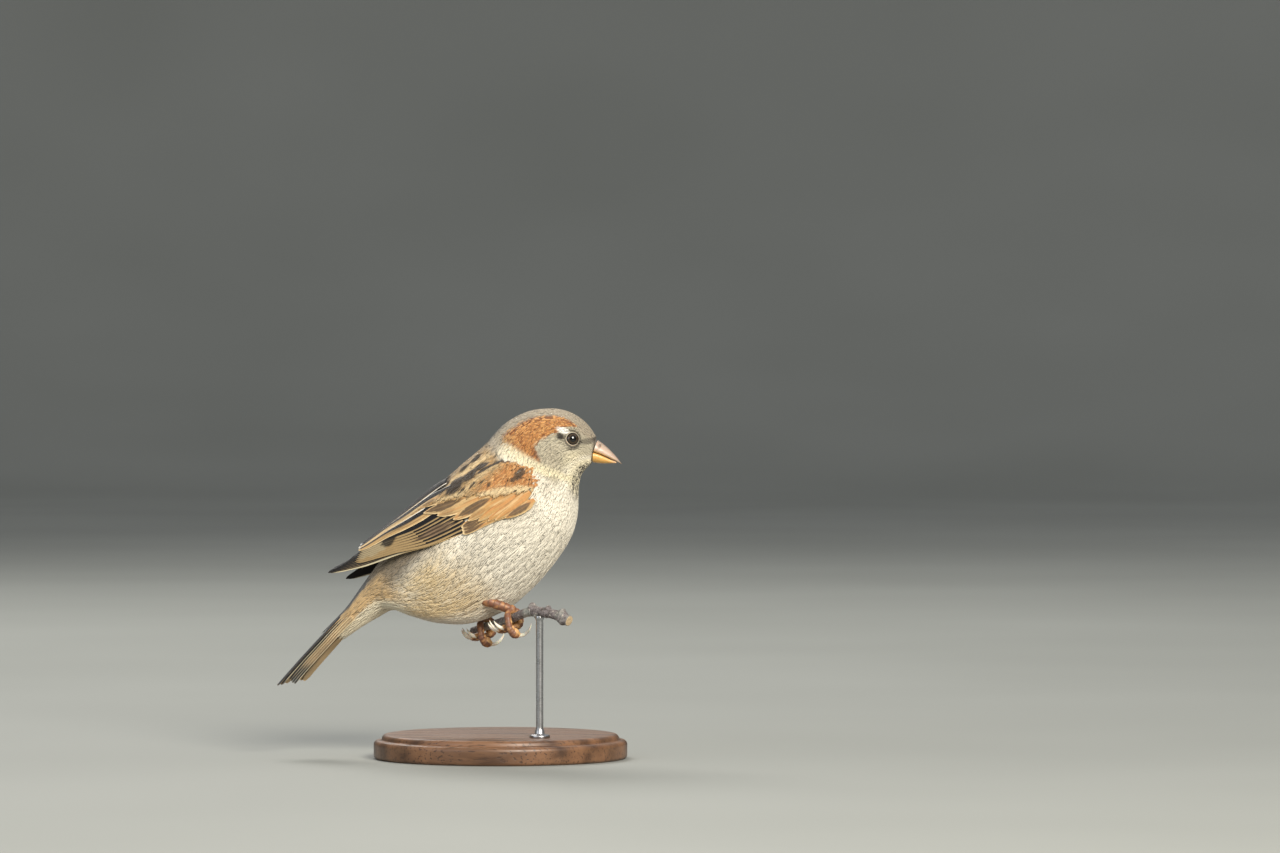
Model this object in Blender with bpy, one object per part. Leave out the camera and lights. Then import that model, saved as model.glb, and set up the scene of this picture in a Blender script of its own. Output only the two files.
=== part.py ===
"""A male house sparrow perched on a short cut twig, life size, on a plain round display stand.

Metres, +Z up, and the bird faces +X. The origin is the centre of the stand's underside.
Lengths below are in millimetres and become metres where a mesh is made.
"""

import math

import bmesh
import bpy
import numpy as np

MM = 0.001
GAP = 0.35  # clear space between neighbouring solids

# Each row is one slanting slice of the plumage, from the bill to the tail:
# back x, back z, belly x, belly z, half width, height of the widest place (0 belly, 1 back), and how
# far the underside narrows to a keel between the legs.
BODY = np.array(
    (
        (32.3, 106.1, 30.8, 98.0, 4.0, 0.50, 0.0),  # 0 ring of feathers round the bill
        (29.3, 110.4, 29.0, 96.4, 6.4, 0.50, 0.0),  # 1 lores
        (25.7, 113.4, 27.3, 94.5, 8.8, 0.51, 0.0),  # 2 forehead and eyes
        (21.7, 115.2, 26.3, 92.1, 10.3, 0.51, 0.0),  # 3 fore crown
        (16.5, 115.9, 25.8, 88.8, 11.4, 0.50, 0.0),  # 4 crown and cheeks
        (9.0, 114.8, 25.8, 84.5, 12.7, 0.48, 0.0),  # 5 hind crown
        (1.3, 110.6, 25.3, 79.2, 14.7, 0.46, 0.0),  # 6 nape and throat
        (-5.7, 103.3, 23.0, 72.3, 17.6, 0.47, 0.0),  # 7 neck and upper breast
        (-13.7, 96.5, 17.0, 63.4, 20.2, 0.50, 0.05),  # 8 shoulders
        (-22.7, 88.0, 9.7, 55.4, 20.8, 0.51, 0.18),  # 9 mantle and breast
        (-30.0, 78.8, 1.3, 48.8, 20.0, 0.50, 0.34),  # 10 mid back and belly
        (-36.0, 71.0, -10.0, 44.6, 17.8, 0.48, 0.34),  # 11 lower back
        (-40.7, 64.6, -21.0, 44.7, 14.6, 0.47, 0.15),  # 12 rump
        (-44.3, 59.8, -29.7, 47.0, 11.2, 0.47, 0.0),  # 13 vent
        (-47.7, 55.1, -35.7, 49.0, 8.4, 0.48, 0.0),  # 14 tail root
        (-51.0, 50.5, -41.3, 46.3, 6.6, 0.50, 0.0),  # 15 coverts over and under the tail
        (-54.3, 46.9, -47.0, 42.9, 5.0, 0.50, 0.0),  # 16 tips of the coverts
    )
)

# The surface that the folded wings lie on: it leaves the back at the rump and runs straight on.
WING_BED = np.array(
    (
        (1.3, 110.6, 25.3, 79.2, 14.7, 0.46),  # 0 front of the shoulder
        (-5.7, 103.3, 23.0, 72.3, 17.6, 0.47),  # 1
        (-13.7, 96.5, 17.0, 63.4, 20.2, 0.50),  # 2
        (-22.9, 88.4, 9.7, 55.8, 20.9, 0.50),  # 3
        (-31.2, 80.9, 0.0, 51.5, 20.4, 0.50),  # 4
        (-38.6, 75.0, -10.0, 51.0, 18.0, 0.52),  # 5
        (-46.4, 69.0, -21.7, 52.6, 14.2, 0.54),  # 6
        (-53.8, 64.9, -33.0, 55.2, 10.6, 0.56),  # 7
        (-61.5, 61.3, -46.0, 57.8, 7.8, 0.58),  # 8 beyond the tip of the wing
    )
)

# The far wing hangs a little lower and further forward than the near one, more so towards its tip.
FAR_WING_SHIFT = np.array((3.2, 0.0, -2.6))
WING_TIP = 7.5  # place of a folded wing's tip, in rows of its bed

# Soft hollows and swellings of the head, the same on both sides: x, z, radius, outward height.
HEAD_RELIEF = (
    (25.2, 106.1, 3.4, -0.7),  # orbit
    (29.6, 104.6, 2.6, -0.3),  # lores
    (23.6, 110.3, 3.2, 0.25),  # brow
    (17.5, 99.5, 6.0, 0.7),  # ear coverts
)

FULLNESS = 0.87  # under 1, the slices are a little boxier than ellipses

SKULL_CUT, NECK_CUT, RUMP_CUT = 5.3, 6.7, 13.3  # slices where the plumage is parted into nodes

EYE_PLACE = (25.2, 106.1)  # x, z
EYE_RADIUS = 2.6
EYE_SINK = 1.55  # from the feather surface in to the eye's centre

UPPER_BILL = np.array(
    (
        (32.75, 105.5, 31.5, 101.55, 3.55, 0.26),  # 0 forehead to gape
        (35.5, 103.35, 33.9, 100.75, 2.85, 0.26),  # 1
        (38.1, 100.75, 37.0, 99.4, 1.75, 0.30),  # 2
        (39.9, 98.55, 39.4, 98.2, 0.70, 0.45),  # 3
        (40.5, 97.7, 40.3, 97.6, 0.22, 0.50),  # 4 tip
    )
)
LOWER_BILL = np.array(
    (
        (31.4, 101.0, 31.15, 97.95, 3.35, 0.74),  # 0 gape to chin
        (33.8, 100.25, 33.3, 97.75, 2.6, 0.74),  # 1
        (36.6, 98.95, 36.4, 97.75, 1.5, 0.70),  # 2
        (38.5, 98.15, 38.4, 97.95, 0.45, 0.50),  # 3 tip
    )
)

TAIL_ROOT = np.array((-52.5, 0.0, 44.9))
TAIL_AXIS = np.array((-0.70, 0.0, -0.714))
TAIL_BACK = np.array((-0.714, 0.0, 0.70))
RECTRICES = 6  # on each side
RECTRIX_LENGTH = 30.5  # of the middle pair, clear of the coverts
RECTRIX_SHORTER = (0.0, 1.6, 5.2, 5.6, 5.9, 6.6)  # each next feather's end, from the middle one's
RECTRIX_WIDTH = 5.5
RECTRIX_THICKNESS = 0.5
TENT_SLOPE = math.radians(11)  # of the folded tail's two sides

# Centre line of the twig: x, y, z, radius.
TWIG = np.array(
    (
        (-11.4, 13.6, 41.4, 1.25),
        (-6.6, 7.6, 43.0, 1.3),
        (-2.0, 1.0, 44.4, 1.3),
        (2.2, -5.0, 45.7, 1.35),
        (5.8, -10.2, 46.9, 1.4),
        (9.8, -14.2, 48.6, 1.45),
        (13.8, -17.6, 49.5, 1.55),
        (18.0, -20.6, 49.3, 1.6),
        (22.3, -23.2, 48.6, 1.6),
        (26.8, -25.8, 46.9, 1.8),
    )
)
# Knobs where leaves and side shoots grew: place along the twig, direction round it, height, reach.
TWIG_KNOBS = (
    (0.30, -60, 0.5, 1.0),
    (0.655, 95, 1.5, 1.25),
    (0.70, -95, 0.9, 1.1),
    (0.80, 115, 1.0, 0.9),
    (0.93, 85, 1.3, 1.2),
    (0.955, -70, 0.7, 1.3),
)

FOOT_CENTRES = {"right": np.array((5.8, -10.2, 46.9)), "left": np.array((-5.9, 6.8, 43.2))}
HEELS = {"right": np.array((-9.0, -9.6, 54.4)), "left": np.array((-20.5, 8.6, 53.6))}
TARSUS_RADIUS = 1.5
BALL_RADIUS, BALL_RISE = 1.4, 2.95  # of the ball of the foot, and its height over the twig's middle
# Each toe: its claw's length, the radius of the claw's curve, then the toe's middle line and radius.
# The line runs from the ball of the foot, forward, along the twig and up from the twig's middle.
TOES = {
    "inner": (4.8, 3.9, (
        (2.1, -2.2, 2.0, 0.90), (3.0, -3.6, -0.5, 0.92), (2.3, -4.6, -2.6, 0.85),
        (-0.4, -5.3, -3.0, 0.95), (-2.3, -5.8, -3.0, 0.85), (-2.9, -5.95, -2.95, 0.60))),
    "middle": (5.2, 3.9, (
        (2.2, -1.1, 2.1, 0.95), (3.1, -1.9, -0.5, 0.95), (2.4, -2.6, -2.7, 0.90),
        (-0.5, -3.2, -3.1, 1.00), (-2.9, -3.7, -3.05, 0.90), (-3.5, -3.8, -3.0, 0.62))),
    "outer": (4.6, 3.9, (
        (2.1, 0.3, 2.0, 0.90), (3.0, 0.0, -0.5, 0.92), (2.3, -0.5, -2.6, 0.85),
        (-0.4, -1.1, -3.0, 0.95), (-2.5, -1.6, -3.0, 0.85), (-3.1, -1.75, -2.95, 0.60))),
    "hind": (8.2, 5.4, (
        (-2.2, 0.9, 1.6, 0.95), (-3.1, 1.9, -0.9, 1.05), (-3.0, 2.1, -3.4, 1.00),
        (-2.0, 1.9, -5.0, 1.35), (-0.6, 1.7, -5.9, 1.30), (0.1, 1.65, -6.1, 0.80))),
}
CLAW_RADIUS = 0.6

BASE_RADIUS, BASE_HEIGHT, BASE_EDGE = 42.0, 8.0, 1.2
ROD_RADIUS = 1.2
ROD_PLACE = 6.55  # on the twig, in its points
ROD_CLEAR = 0.55  # below the twig's round side, for its knobs

# Colours as red, green, blue, and roughness and metallic value.
FINISHES = {
    "crown": (0.36, 0.25, 0.15, 0.85, 0.0),
    "breast": (0.66, 0.60, 0.50, 0.9, 0.0),
    "wing": (0.45, 0.24, 0.10, 0.8, 0.0),
    "quill": (0.10, 0.075, 0.055, 0.7, 0.0),
    "bill": (0.78, 0.52, 0.26, 0.4, 0.0),
    "eye": (0.02, 0.014, 0.01, 0.08, 0.0),
    "leg": (0.55, 0.27, 0.15, 0.55, 0.0),
    "claw": (0.62, 0.55, 0.44, 0.4, 0.0),
    "bark": (0.20, 0.16, 0.16, 0.85, 0.0),
    "walnut": (0.20, 0.11, 0.06, 0.45, 0.0),
    "steel": (0.60, 0.60, 0.60, 0.3, 1.0),
}


def rows_at(table, places):
    """The table's rows at fractional places, on a smooth curve through them (Catmull-Rom)."""
    places = np.atleast_1d(np.asarray(places, float))
    last = len(table) - 1
    first = np.clip(np.floor(places).astype(int), 0, last - 1)
    s = (places - first)[:, None]
    before = np.where(first[:, None] > 0, table[first - 1], 2 * table[0] - table[1])
    after_at = np.minimum(first + 2, last)
    after = np.where(first[:, None] + 2 <= last, table[after_at], 2 * table[last] - table[last - 1])
    a, b = table[first], table[first + 1]
    return 0.5 * (
        2 * a + (b - before) * s + (2 * before - 5 * a + 4 * b - after) * s**2
        + (3 * a - before - 3 * b + after) * s**3
    )


def slice_points(table, places, angles):
    """Points of a sliced form: angle 0 is its back, 90 its right side (-Y), 180 its belly."""
    row = rows_at(table, places)
    c, s = np.cos(np.radians(angles)), np.sin(np.radians(angles))
    rise = (1 + c) / 2 + (row[:, 5] - 0.5) * s**2
    if table.shape[1] > 6:
        s = s * (1 - row[:, 6] * np.clip(1 - rise / 0.5, 0, 1))
    s = np.sign(s) * np.abs(s) ** FULLNESS
    x = row[:, 2] + (row[:, 0] - row[:, 2]) * rise
    z = row[:, 3] + (row[:, 1] - row[:, 3]) * rise
    return np.stack((x, -row[:, 4] * s, z), axis=-1)


def plumage_points(places, angles):
    """The bird's feather surface, with the head's hollows and swellings."""
    points = slice_points(BODY, places, angles)
    for x, z, radius, height in HEAD_RELIEF:
        near = np.exp(-((points[:, 0] - x) ** 2 + (points[:, 2] - z) ** 2) / radius**2)
        side = np.clip(np.abs(points[:, 1]) / 5.0, 0, 1)
        points[:, 1] += np.sign(points[:, 1]) * height * near * side
    return points


def grown(form, places, angles, distance):
    """The form's points moved out along its surface normal."""
    step = 0.01
    along = form(places + step, angles) - form(places - step, angles)
    round_ = form(places, angles + 1) - form(places, angles - 1)
    normal = np.cross(along, round_)
    length = np.linalg.norm(normal, axis=1, keepdims=True)
    return form(places, angles) + np.reshape(distance, (-1, 1)) * normal / np.maximum(length, 1e-9)


def material(name):
    red, green, blue, roughness, metallic = FINISHES[name]
    made = bpy.data.materials.get(name) or bpy.data.materials.new(name)
    made.use_nodes = True
    shader = made.node_tree.nodes["Principled BSDF"]
    shader.inputs["Base Color"].default_value = (red, green, blue, 1)
    shader.inputs["Roughness"].default_value = roughness
    shader.inputs["Metallic"].default_value = metallic
    made.diffuse_color = (red, green, blue, 1)
    return made


def solid(name, points, faces, finish):
    """One closed mesh object, shaded smooth, with its faces turned outwards."""
    mesh = bpy.data.meshes.new(name)
    mesh.from_pydata((np.asarray(points) * MM).tolist(), [], faces)
    work = bmesh.new()
    work.from_mesh(mesh)
    bmesh.ops.remove_doubles(work, verts=work.verts, dist=1e-6)
    bmesh.ops.recalc_face_normals(work, faces=work.faces)
    work.to_mesh(mesh)
    work.free()
    mesh.shade_smooth()
    mesh.set_sharp_from_angle(angle=math.radians(50))
    mesh.materials.append(material(finish))
    made = bpy.data.objects.new(name, mesh)
    bpy.context.scene.collection.objects.link(made)
    return made


def ringed(name, rings, finish):
    """A closed solid from rings of equally many points, with a cap at each end."""
    rings = np.asarray(rings)
    count, sides = rings.shape[:2]
    faces = [
        (r * sides + k, r * sides + (k + 1) % sides, (r + 1) * sides + (k + 1) % sides, (r + 1) * sides + k)
        for r in range(count - 1)
        for k in range(sides)
    ]
    faces += [tuple(range(sides)), tuple((count - 1) * sides + k for k in range(sides))]
    return solid(name, rings.reshape(-1, 3), faces, finish)


def slab(name, outer, inner, finish):
    """A closed solid between two grids of points, joined round their rims."""
    rows, columns = outer.shape[:2]
    size = rows * columns
    faces = []
    for r in range(rows - 1):
        for k in range(columns - 1):
            here, below = r * columns + k, (r + 1) * columns + k
            corner = (here, here + 1, below + 1, below)
            faces.append(corner)
            faces.append(tuple(size + c for c in corner))
    rim = [k for k in range(columns)]
    rim += [r * columns + columns - 1 for r in range(1, rows)]
    rim += [(rows - 1) * columns + k for k in range(columns - 2, -1, -1)]
    rim += [r * columns for r in range(rows - 2, 0, -1)]
    for a, b in zip(rim, rim[1:] + rim[:1]):
        faces.append((a, b, size + b, size + a))
    return solid(name, np.concatenate((outer.reshape(-1, 3), inner.reshape(-1, 3))), faces, finish)


def cut(piece, cutter):
    """Takes a hidden cutter away from the piece."""
    cutter.hide_render = True
    cutter.display_type = "WIRE"
    taking = piece.modifiers.new("Cut by " + cutter.name, "BOOLEAN")
    taking.operation = "DIFFERENCE"
    taking.object = cutter


def form_rings(form, places, sides, distance=0.0):
    angles = np.arange(sides) * 360.0 / sides
    return np.array([grown(form, np.full(sides, p), angles, np.full(sides, distance)) for p in places])


def parted(rings, first_gap, last_gap):
    """Draws the end rings in along the form by half a gap, where the plumage is parted."""
    for end, inner, gap in ((0, 1, first_gap), (-1, -2, last_gap)):
        if gap:
            edge = rings[end]
            flat = np.cross(edge[1] - edge[0], edge[len(edge) // 2] - edge[0])
            flat /= np.linalg.norm(flat)
            inwards = np.sign(np.dot(rings[inner].mean(0) - edge.mean(0), flat))
            rings[end] = edge + inwards * flat * GAP / 2
    return rings


def plumage():
    """The head, neck, trunk and tail coverts: one form, parted by thin cuts."""
    parts = (
        ("head", 0.0, SKULL_CUT, 13, 28, "crown", False, True),
        ("neck", SKULL_CUT, NECK_CUT, 4, 28, "breast", True, True),
        ("trunk", NECK_CUT, RUMP_CUT, 14, 32, "breast", True, True),
        ("tail_coverts", RUMP_CUT, 16.0, 5, 20, "breast", True, False),
    )
    made = {}
    for name, start, end, count, sides, finish, first_gap, last_gap in parts:
        rings = form_rings(plumage_points, np.linspace(start, end, count), sides)
        made[name] = ringed(name, parted(rings, first_gap, last_gap), finish)
    return made


def clearance_of_plumage():
    """The whole plumage grown by the gap: it cuts what lies on the bird."""
    rings = form_rings(plumage_points, np.linspace(0.02, 15.98, 46), 40, GAP)
    return ringed("guide_plumage", rings, "breast")


def side_of_head(x, z):
    """How far the feather surface stands out sideways at a place in the bird's side view."""
    places, angles = np.meshgrid(np.linspace(0.2, 4.8, 200), np.linspace(20, 160, 200))
    points = plumage_points(places.ravel(), angles.ravel())
    return -points[np.argmin((points[:, 0] - x) ** 2 + (points[:, 2] - z) ** 2), 1]


def ball(name, centre, radius, finish, rings=8, sides=16):
    work = bmesh.new()
    bmesh.ops.create_uvsphere(work, u_segments=sides, v_segments=rings, radius=radius)
    points = [np.array(v.co)[[0, 2, 1]] + centre for v in work.verts]
    faces = [tuple(v.index for v in f.verts) for f in work.faces]
    work.free()
    return solid(name, points, faces, finish)


def eyes(head):
    reach = side_of_head(*EYE_PLACE) - EYE_SINK
    for side, sign in (("right", -1), ("left", 1)):
        centre = np.array((EYE_PLACE[0], sign * reach, EYE_PLACE[1]))
        ball("eye_" + side, centre, EYE_RADIUS, "eye")
        cut(head, ball("guide_socket_" + side, centre, EYE_RADIUS + GAP, "eye", 10, 18))


def bill():
    for name, table, count in (("bill_upper", UPPER_BILL, 8), ("bill_lower", LOWER_BILL, 6)):
        places = np.linspace(0, len(table) - 1, count)
        rings = form_rings(lambda p, a, t=table: slice_points(t, p, a), places, 12)
        ringed(name, rings, "bill")


def wing_points(places, angles, side, height):
    """Points over the wing's bed. The left wing mirrors the right one and is shifted."""
    points = grown(lambda p, a: slice_points(WING_BED, p, a), places, angles, height)
    if side == "left":
        points = points * (1, -1, 1)
        points = points + FAR_WING_SHIFT * np.clip(places / WING_TIP, 0, 1)[:, None] ** 1.5
    return points


def flap(name, side, places, low_angle, high_angle, height, finish, cutter, columns=8):
    """One group of a folded wing's feathers, as a slab that fits the bird.

    low_angle and high_angle give its lower and upper edges at each place along the wing; the slab's
    face is rounded down towards them. Where it lies on the bird, the plumage cuts it to fit."""
    across = np.linspace(0, 1, columns)
    places_grid = np.repeat(places, columns)
    low, high = np.repeat(low_angle(places), columns), np.repeat(high_angle(places), columns)
    across_grid = np.tile(across, len(places))
    angles = low + (high - low) * across_grid
    crown = 1 - np.abs(2 * across_grid - 1) ** 4
    ends = np.clip(np.minimum(places_grid - places[0], places[-1] - places_grid) / 0.25, 0, 1)
    top = height * (0.62 + 0.38 * crown * ends)
    free = np.clip((places_grid - 4.0) / 1.2, 0, 1)  # beyond the back the slab stands by itself
    bottom = -3.5 * (1 - free) + (top - 1.0) * free
    shape = (len(places), columns, 3)
    outer = wing_points(places_grid, angles, side, top).reshape(shape)
    inner = wing_points(places_grid, angles, side, bottom).reshape(shape)
    cut(slab(name, outer, inner, finish), cutter)


def wings(cutter):
    """Each folded wing: coverts over the shoulder, tertials and secondaries, then primaries."""
    def pick(*pairs):
        knots = np.array(pairs)
        return lambda p: np.interp(p, knots[:, 0], knots[:, 1])

    shoulder_low = pick((0.0, 84), (0.3, 93), (1.0, 97), (2.0, 88), (3.0, 77), (3.6, 70))
    shoulder_high = pick((0.0, 80), (0.3, 64), (1.0, 48), (2.0, 38), (3.6, 27))
    inner_low = pick((3.6, 58), (5.0, 49), (6.0, 35), (6.9, 20))
    inner_high = pick((3.6, 25), (4.6, 12), (5.5, 7), (6.9, 9))
    outer_low = pick((3.6, 69), (4.4, 67), (5.4, 66), (6.4, 66), (7.0, 70), (7.5, 66))
    outer_high = pick((3.6, 60.5), (5.0, 51.5), (6.0, 37.5), (6.88, 23), (6.96, 11), (7.2, 26), (7.5, 50))
    for side in ("right", "left"):
        flap(f"wing_{side}_coverts", side, np.linspace(0.05, 3.56, 10), shoulder_low, shoulder_high,
             1.9, "wing", cutter)
        flap(f"wing_{side}_secondaries", side, np.linspace(3.64, 6.85, 9), inner_low, inner_high,
             1.6, "wing", cutter)
        flap(f"wing_{side}_primaries", side, np.linspace(3.64, WING_TIP, 11), outer_low, outer_high,
             1.3, "quill", cutter, 6)


def rectrix(name, side, number):
    """One tail feather: a thin blade, the outer ones a little shorter, lower and splayed out."""
    sign = -1 if side == "right" else 1
    outwards = np.array((0.0, sign, 0.0))
    along_blade = math.cos(TENT_SLOPE) * outwards - math.sin(TENT_SLOPE) * TAIL_BACK
    blade_face = math.sin(TENT_SLOPE) * outwards + math.cos(TENT_SLOPE) * TAIL_BACK
    step = 0.9 * along_blade - (RECTRIX_THICKNESS + 0.31) * blade_face
    root = TAIL_ROOT + outwards * 2.95 + 1.9 * TAIL_BACK + (number - 1) * step
    root = root + TAIL_AXIS * 0.25 * (number - 1)
    axis = TAIL_AXIS + 0.012 * (number - 1) * outwards
    axis = axis / np.linalg.norm(axis)
    length = RECTRIX_LENGTH - RECTRIX_SHORTER[number - 1]
    rings = []
    for s in (0, 0.35, 0.7, 0.86, 0.95, 1.0):
        width = RECTRIX_WIDTH * (0.62 + 0.38 * min(1, s / 0.35))
        if s > 0.8:
            width *= math.sqrt(max(0.0, 1 - ((s - 0.8) / 0.205) ** 2))
        centre = root + axis * length * s - TAIL_BACK * 0.9 * s * s
        half, deep = width / 2, RECTRIX_THICKNESS / 2
        across = (-half, -0.5 * half, 0.5 * half, half, 0.5 * half, -0.5 * half)
        through = (0, deep, deep, 0, -deep, -deep)
        rings.append([centre + a * along_blade + b * blade_face for a, b in zip(across, through)])
    ringed(name, rings, "quill")


def frames_along(points):
    """Unit tangent and two steady cross directions at each point of a path."""
    tangent = np.gradient(points, axis=0)
    tangent /= np.linalg.norm(tangent, axis=1, keepdims=True)
    upright = abs(tangent[0][2]) > 0.9
    cross = np.cross(tangent[0], (1.0, 0.0, 0.0) if upright else (0.0, 0.0, 1.0))
    crosses = []
    for t in tangent:
        cross = cross - np.dot(cross, t) * t
        cross = cross / np.linalg.norm(cross)
        crosses.append(cross)
    crosses = np.array(crosses)
    return tangent, crosses, np.cross(crosses, tangent)


def tube(name, points, radii, finish, sides=10, bumps=None):
    """A round solid along a path. bumps gives extra radius by place along and direction round."""
    points = np.asarray(points)
    _, cross, up = frames_along(points)
    turn = np.radians(np.arange(sides) * 360.0 / sides)
    rings = []
    for k, centre in enumerate(points):
        radius = np.full(sides, radii[k])
        if bumps:
            radius = radius + bumps(k / (len(points) - 1), turn)
        ring = np.outer(np.cos(turn), cross[k]) + np.outer(np.sin(turn), up[k])
        rings.append(centre + ring * radius[:, None])
    return ringed(name, rings, finish)


def twig_bumps(place, turn):
    """Height of the knobs round the twig at one place along it."""
    total = np.zeros(len(turn))
    length = np.linalg.norm(np.diff(TWIG[:, :3], axis=0), axis=1).sum()
    for at, direction, height, reach in TWIG_KNOBS:
        along = math.exp(-(((place - at) * length / reach) ** 2))
        facing = np.clip(np.cos(turn - math.radians(direction)), 0, 1) ** 2
        total += height * along * facing
    return total


def perch():
    rows = rows_at(TWIG, np.linspace(0, len(TWIG) - 1, 29))
    tube("perch_twig", rows[:, :3], rows[:, 3], "bark", 10, twig_bumps)


def foot_frame(centre):
    """Forward and along-the-twig directions where a foot grips it."""
    places = np.linspace(0, len(TWIG) - 1, 400)
    path = rows_at(TWIG, places)[:, :3]
    nearest = np.argmin(np.linalg.norm(path - centre, axis=1))
    along = path[min(nearest + 4, 399)] - path[max(nearest - 4, 0)]
    along /= np.linalg.norm(along)
    forward = np.cross(along, (0.0, 0.0, 1.0)) * -1
    forward /= np.linalg.norm(forward)
    return path[nearest], forward, along, np.cross(forward, along) * -1


def ball_of(frame):
    """Where the toes meet, on top of the twig."""
    middle, forward, along, up = frame
    return middle + up * BALL_RISE


def toe(foot, name, frame):
    """A toe that grips the twig, and its claw, which goes on along a curve of its own."""
    claw_length, claw_curve, line = TOES[name]
    middle, forward, along, up = frame
    line = np.array(((0.0, 0.0, BALL_RISE, line[0][3]), *line))
    rows = rows_at(line, np.linspace(0, len(line) - 1, 10))
    points = middle + rows[:, :3] @ np.array((forward, along, up))
    made = tube(f"guide_toe_{foot}_{name}", points, rows[:, 3], "leg", 8)
    heading = points[-1] - points[-2]
    heading /= np.linalg.norm(heading)
    inwards = up - np.dot(up, heading) * heading
    inwards /= np.linalg.norm(inwards)
    bend = np.linspace(0, claw_length / claw_curve, 6)
    claw = (
        points[-1]
        + heading * GAP
        + np.outer(claw_curve * np.sin(bend), heading)
        + np.outer(claw_curve * (1 - np.cos(bend)), inwards)
    )
    tube(f"claw_{foot}_{name}", claw, CLAW_RADIUS * np.linspace(1, 0.3, 6), "claw", 6)
    return made


def join(piece, other):
    """Fuses a hidden guide into the piece."""
    other.hide_render = True
    other.display_type = "WIRE"
    fusing = piece.modifiers.new("Joined to " + other.name, "BOOLEAN")
    fusing.operation = "UNION"
    fusing.object = other


def legs(trunk):
    """Each foot is four toes fused at the ball of the foot. The tarsus runs up into the plumage."""
    for foot, centre in FOOT_CENTRES.items():
        frame = foot_frame(centre)
        ankle, heel = ball_of(frame), HEELS[foot]
        ball_of_foot = ball("foot_" + foot, ankle, BALL_RADIUS, "leg", 8, 12)
        for name in TOES:
            join(ball_of_foot, toe(foot, name, frame))
        lift = (heel - ankle) / np.linalg.norm(heel - ankle)
        ankle = ankle + lift * (BALL_RADIUS + GAP)
        path = ankle + np.outer((0, 0.1, 0.3, 0.5, 0.75, 1), heel - ankle)
        radii = TARSUS_RADIUS * np.array((0.75, 0.95, 0.95, 1.0, 1.1, 1.2))
        tube("tarsus_" + foot, path, radii, "leg", 10)
        path[0] = ankle - lift * BALL_RADIUS
        path[-1] = heel + lift * GAP
        cut(trunk, tube("guide_tarsus_" + foot, path, radii + GAP, "leg", 10))


def stand():
    edge = BASE_EDGE
    radii = (BASE_RADIUS - edge, BASE_RADIUS, BASE_RADIUS, BASE_RADIUS - edge)
    heights = (0, edge, BASE_HEIGHT - edge, BASE_HEIGHT)
    turn = np.radians(np.arange(40) * 9.0)
    around = np.stack((np.cos(turn), np.sin(turn), 0 * turn), axis=-1)
    rings = [r * around + (0.0, 0.0, z) for r, z in zip(radii, heights)]
    ringed("stand_base", rings, "walnut")
    at = rows_at(TWIG, ROD_PLACE)[0]
    low, high = BASE_HEIGHT + GAP, at[2] - at[3] - GAP - ROD_CLEAR
    points = [(at[0], at[1], z) for z in np.linspace(low, high, 3)]
    tube("stand_rod", points, [ROD_RADIUS] * 3, "steel", 12)


def main():
    for old in list(bpy.data.objects):
        bpy.data.objects.remove(old)
    made = plumage()
    cutter = clearance_of_plumage()
    eyes(made["head"])
    bill()
    wings(cutter)
    for side in ("right", "left"):
        for number in range(1, RECTRICES + 1):
            rectrix(f"tail_feather_{side}_{number}", side, number)
    legs(made["trunk"])
    perch()
    stand()


main()
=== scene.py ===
"""Looks of a life-size male house sparrow on a twig over a plain display stand.

Shapes below are worked out in millimetres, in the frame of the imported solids, and become metres
where a mesh is made. The bird faces +X, its right side is towards -Y, and +Z is up.
"""

import math

import bpy
import numpy as np
from bpy.props import FloatProperty, FloatVectorProperty, IntProperty, PointerProperty
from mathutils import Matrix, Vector


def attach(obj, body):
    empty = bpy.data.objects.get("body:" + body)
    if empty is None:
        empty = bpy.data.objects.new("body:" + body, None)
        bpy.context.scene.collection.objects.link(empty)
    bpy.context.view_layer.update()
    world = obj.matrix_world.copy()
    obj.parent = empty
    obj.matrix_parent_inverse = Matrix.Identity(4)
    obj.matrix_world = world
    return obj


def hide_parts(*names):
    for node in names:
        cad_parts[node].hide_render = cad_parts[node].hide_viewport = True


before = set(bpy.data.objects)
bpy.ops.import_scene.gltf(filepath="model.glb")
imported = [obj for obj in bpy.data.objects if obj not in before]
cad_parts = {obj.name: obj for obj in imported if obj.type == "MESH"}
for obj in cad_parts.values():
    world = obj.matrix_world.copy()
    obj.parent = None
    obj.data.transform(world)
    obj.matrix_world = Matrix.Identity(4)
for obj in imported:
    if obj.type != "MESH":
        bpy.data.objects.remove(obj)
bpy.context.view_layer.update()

bl_info = {
    "name": "House sparrow on a stand",
    "version": (1, 0, 0),
    "blender": (4, 5, 0),
    "location": "View3D > Sidebar > Sparrow",
    "description": "Makes a feathered house sparrow, its twig and its display stand",
    "category": "Add Mesh",
}

MM = 0.001

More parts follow.
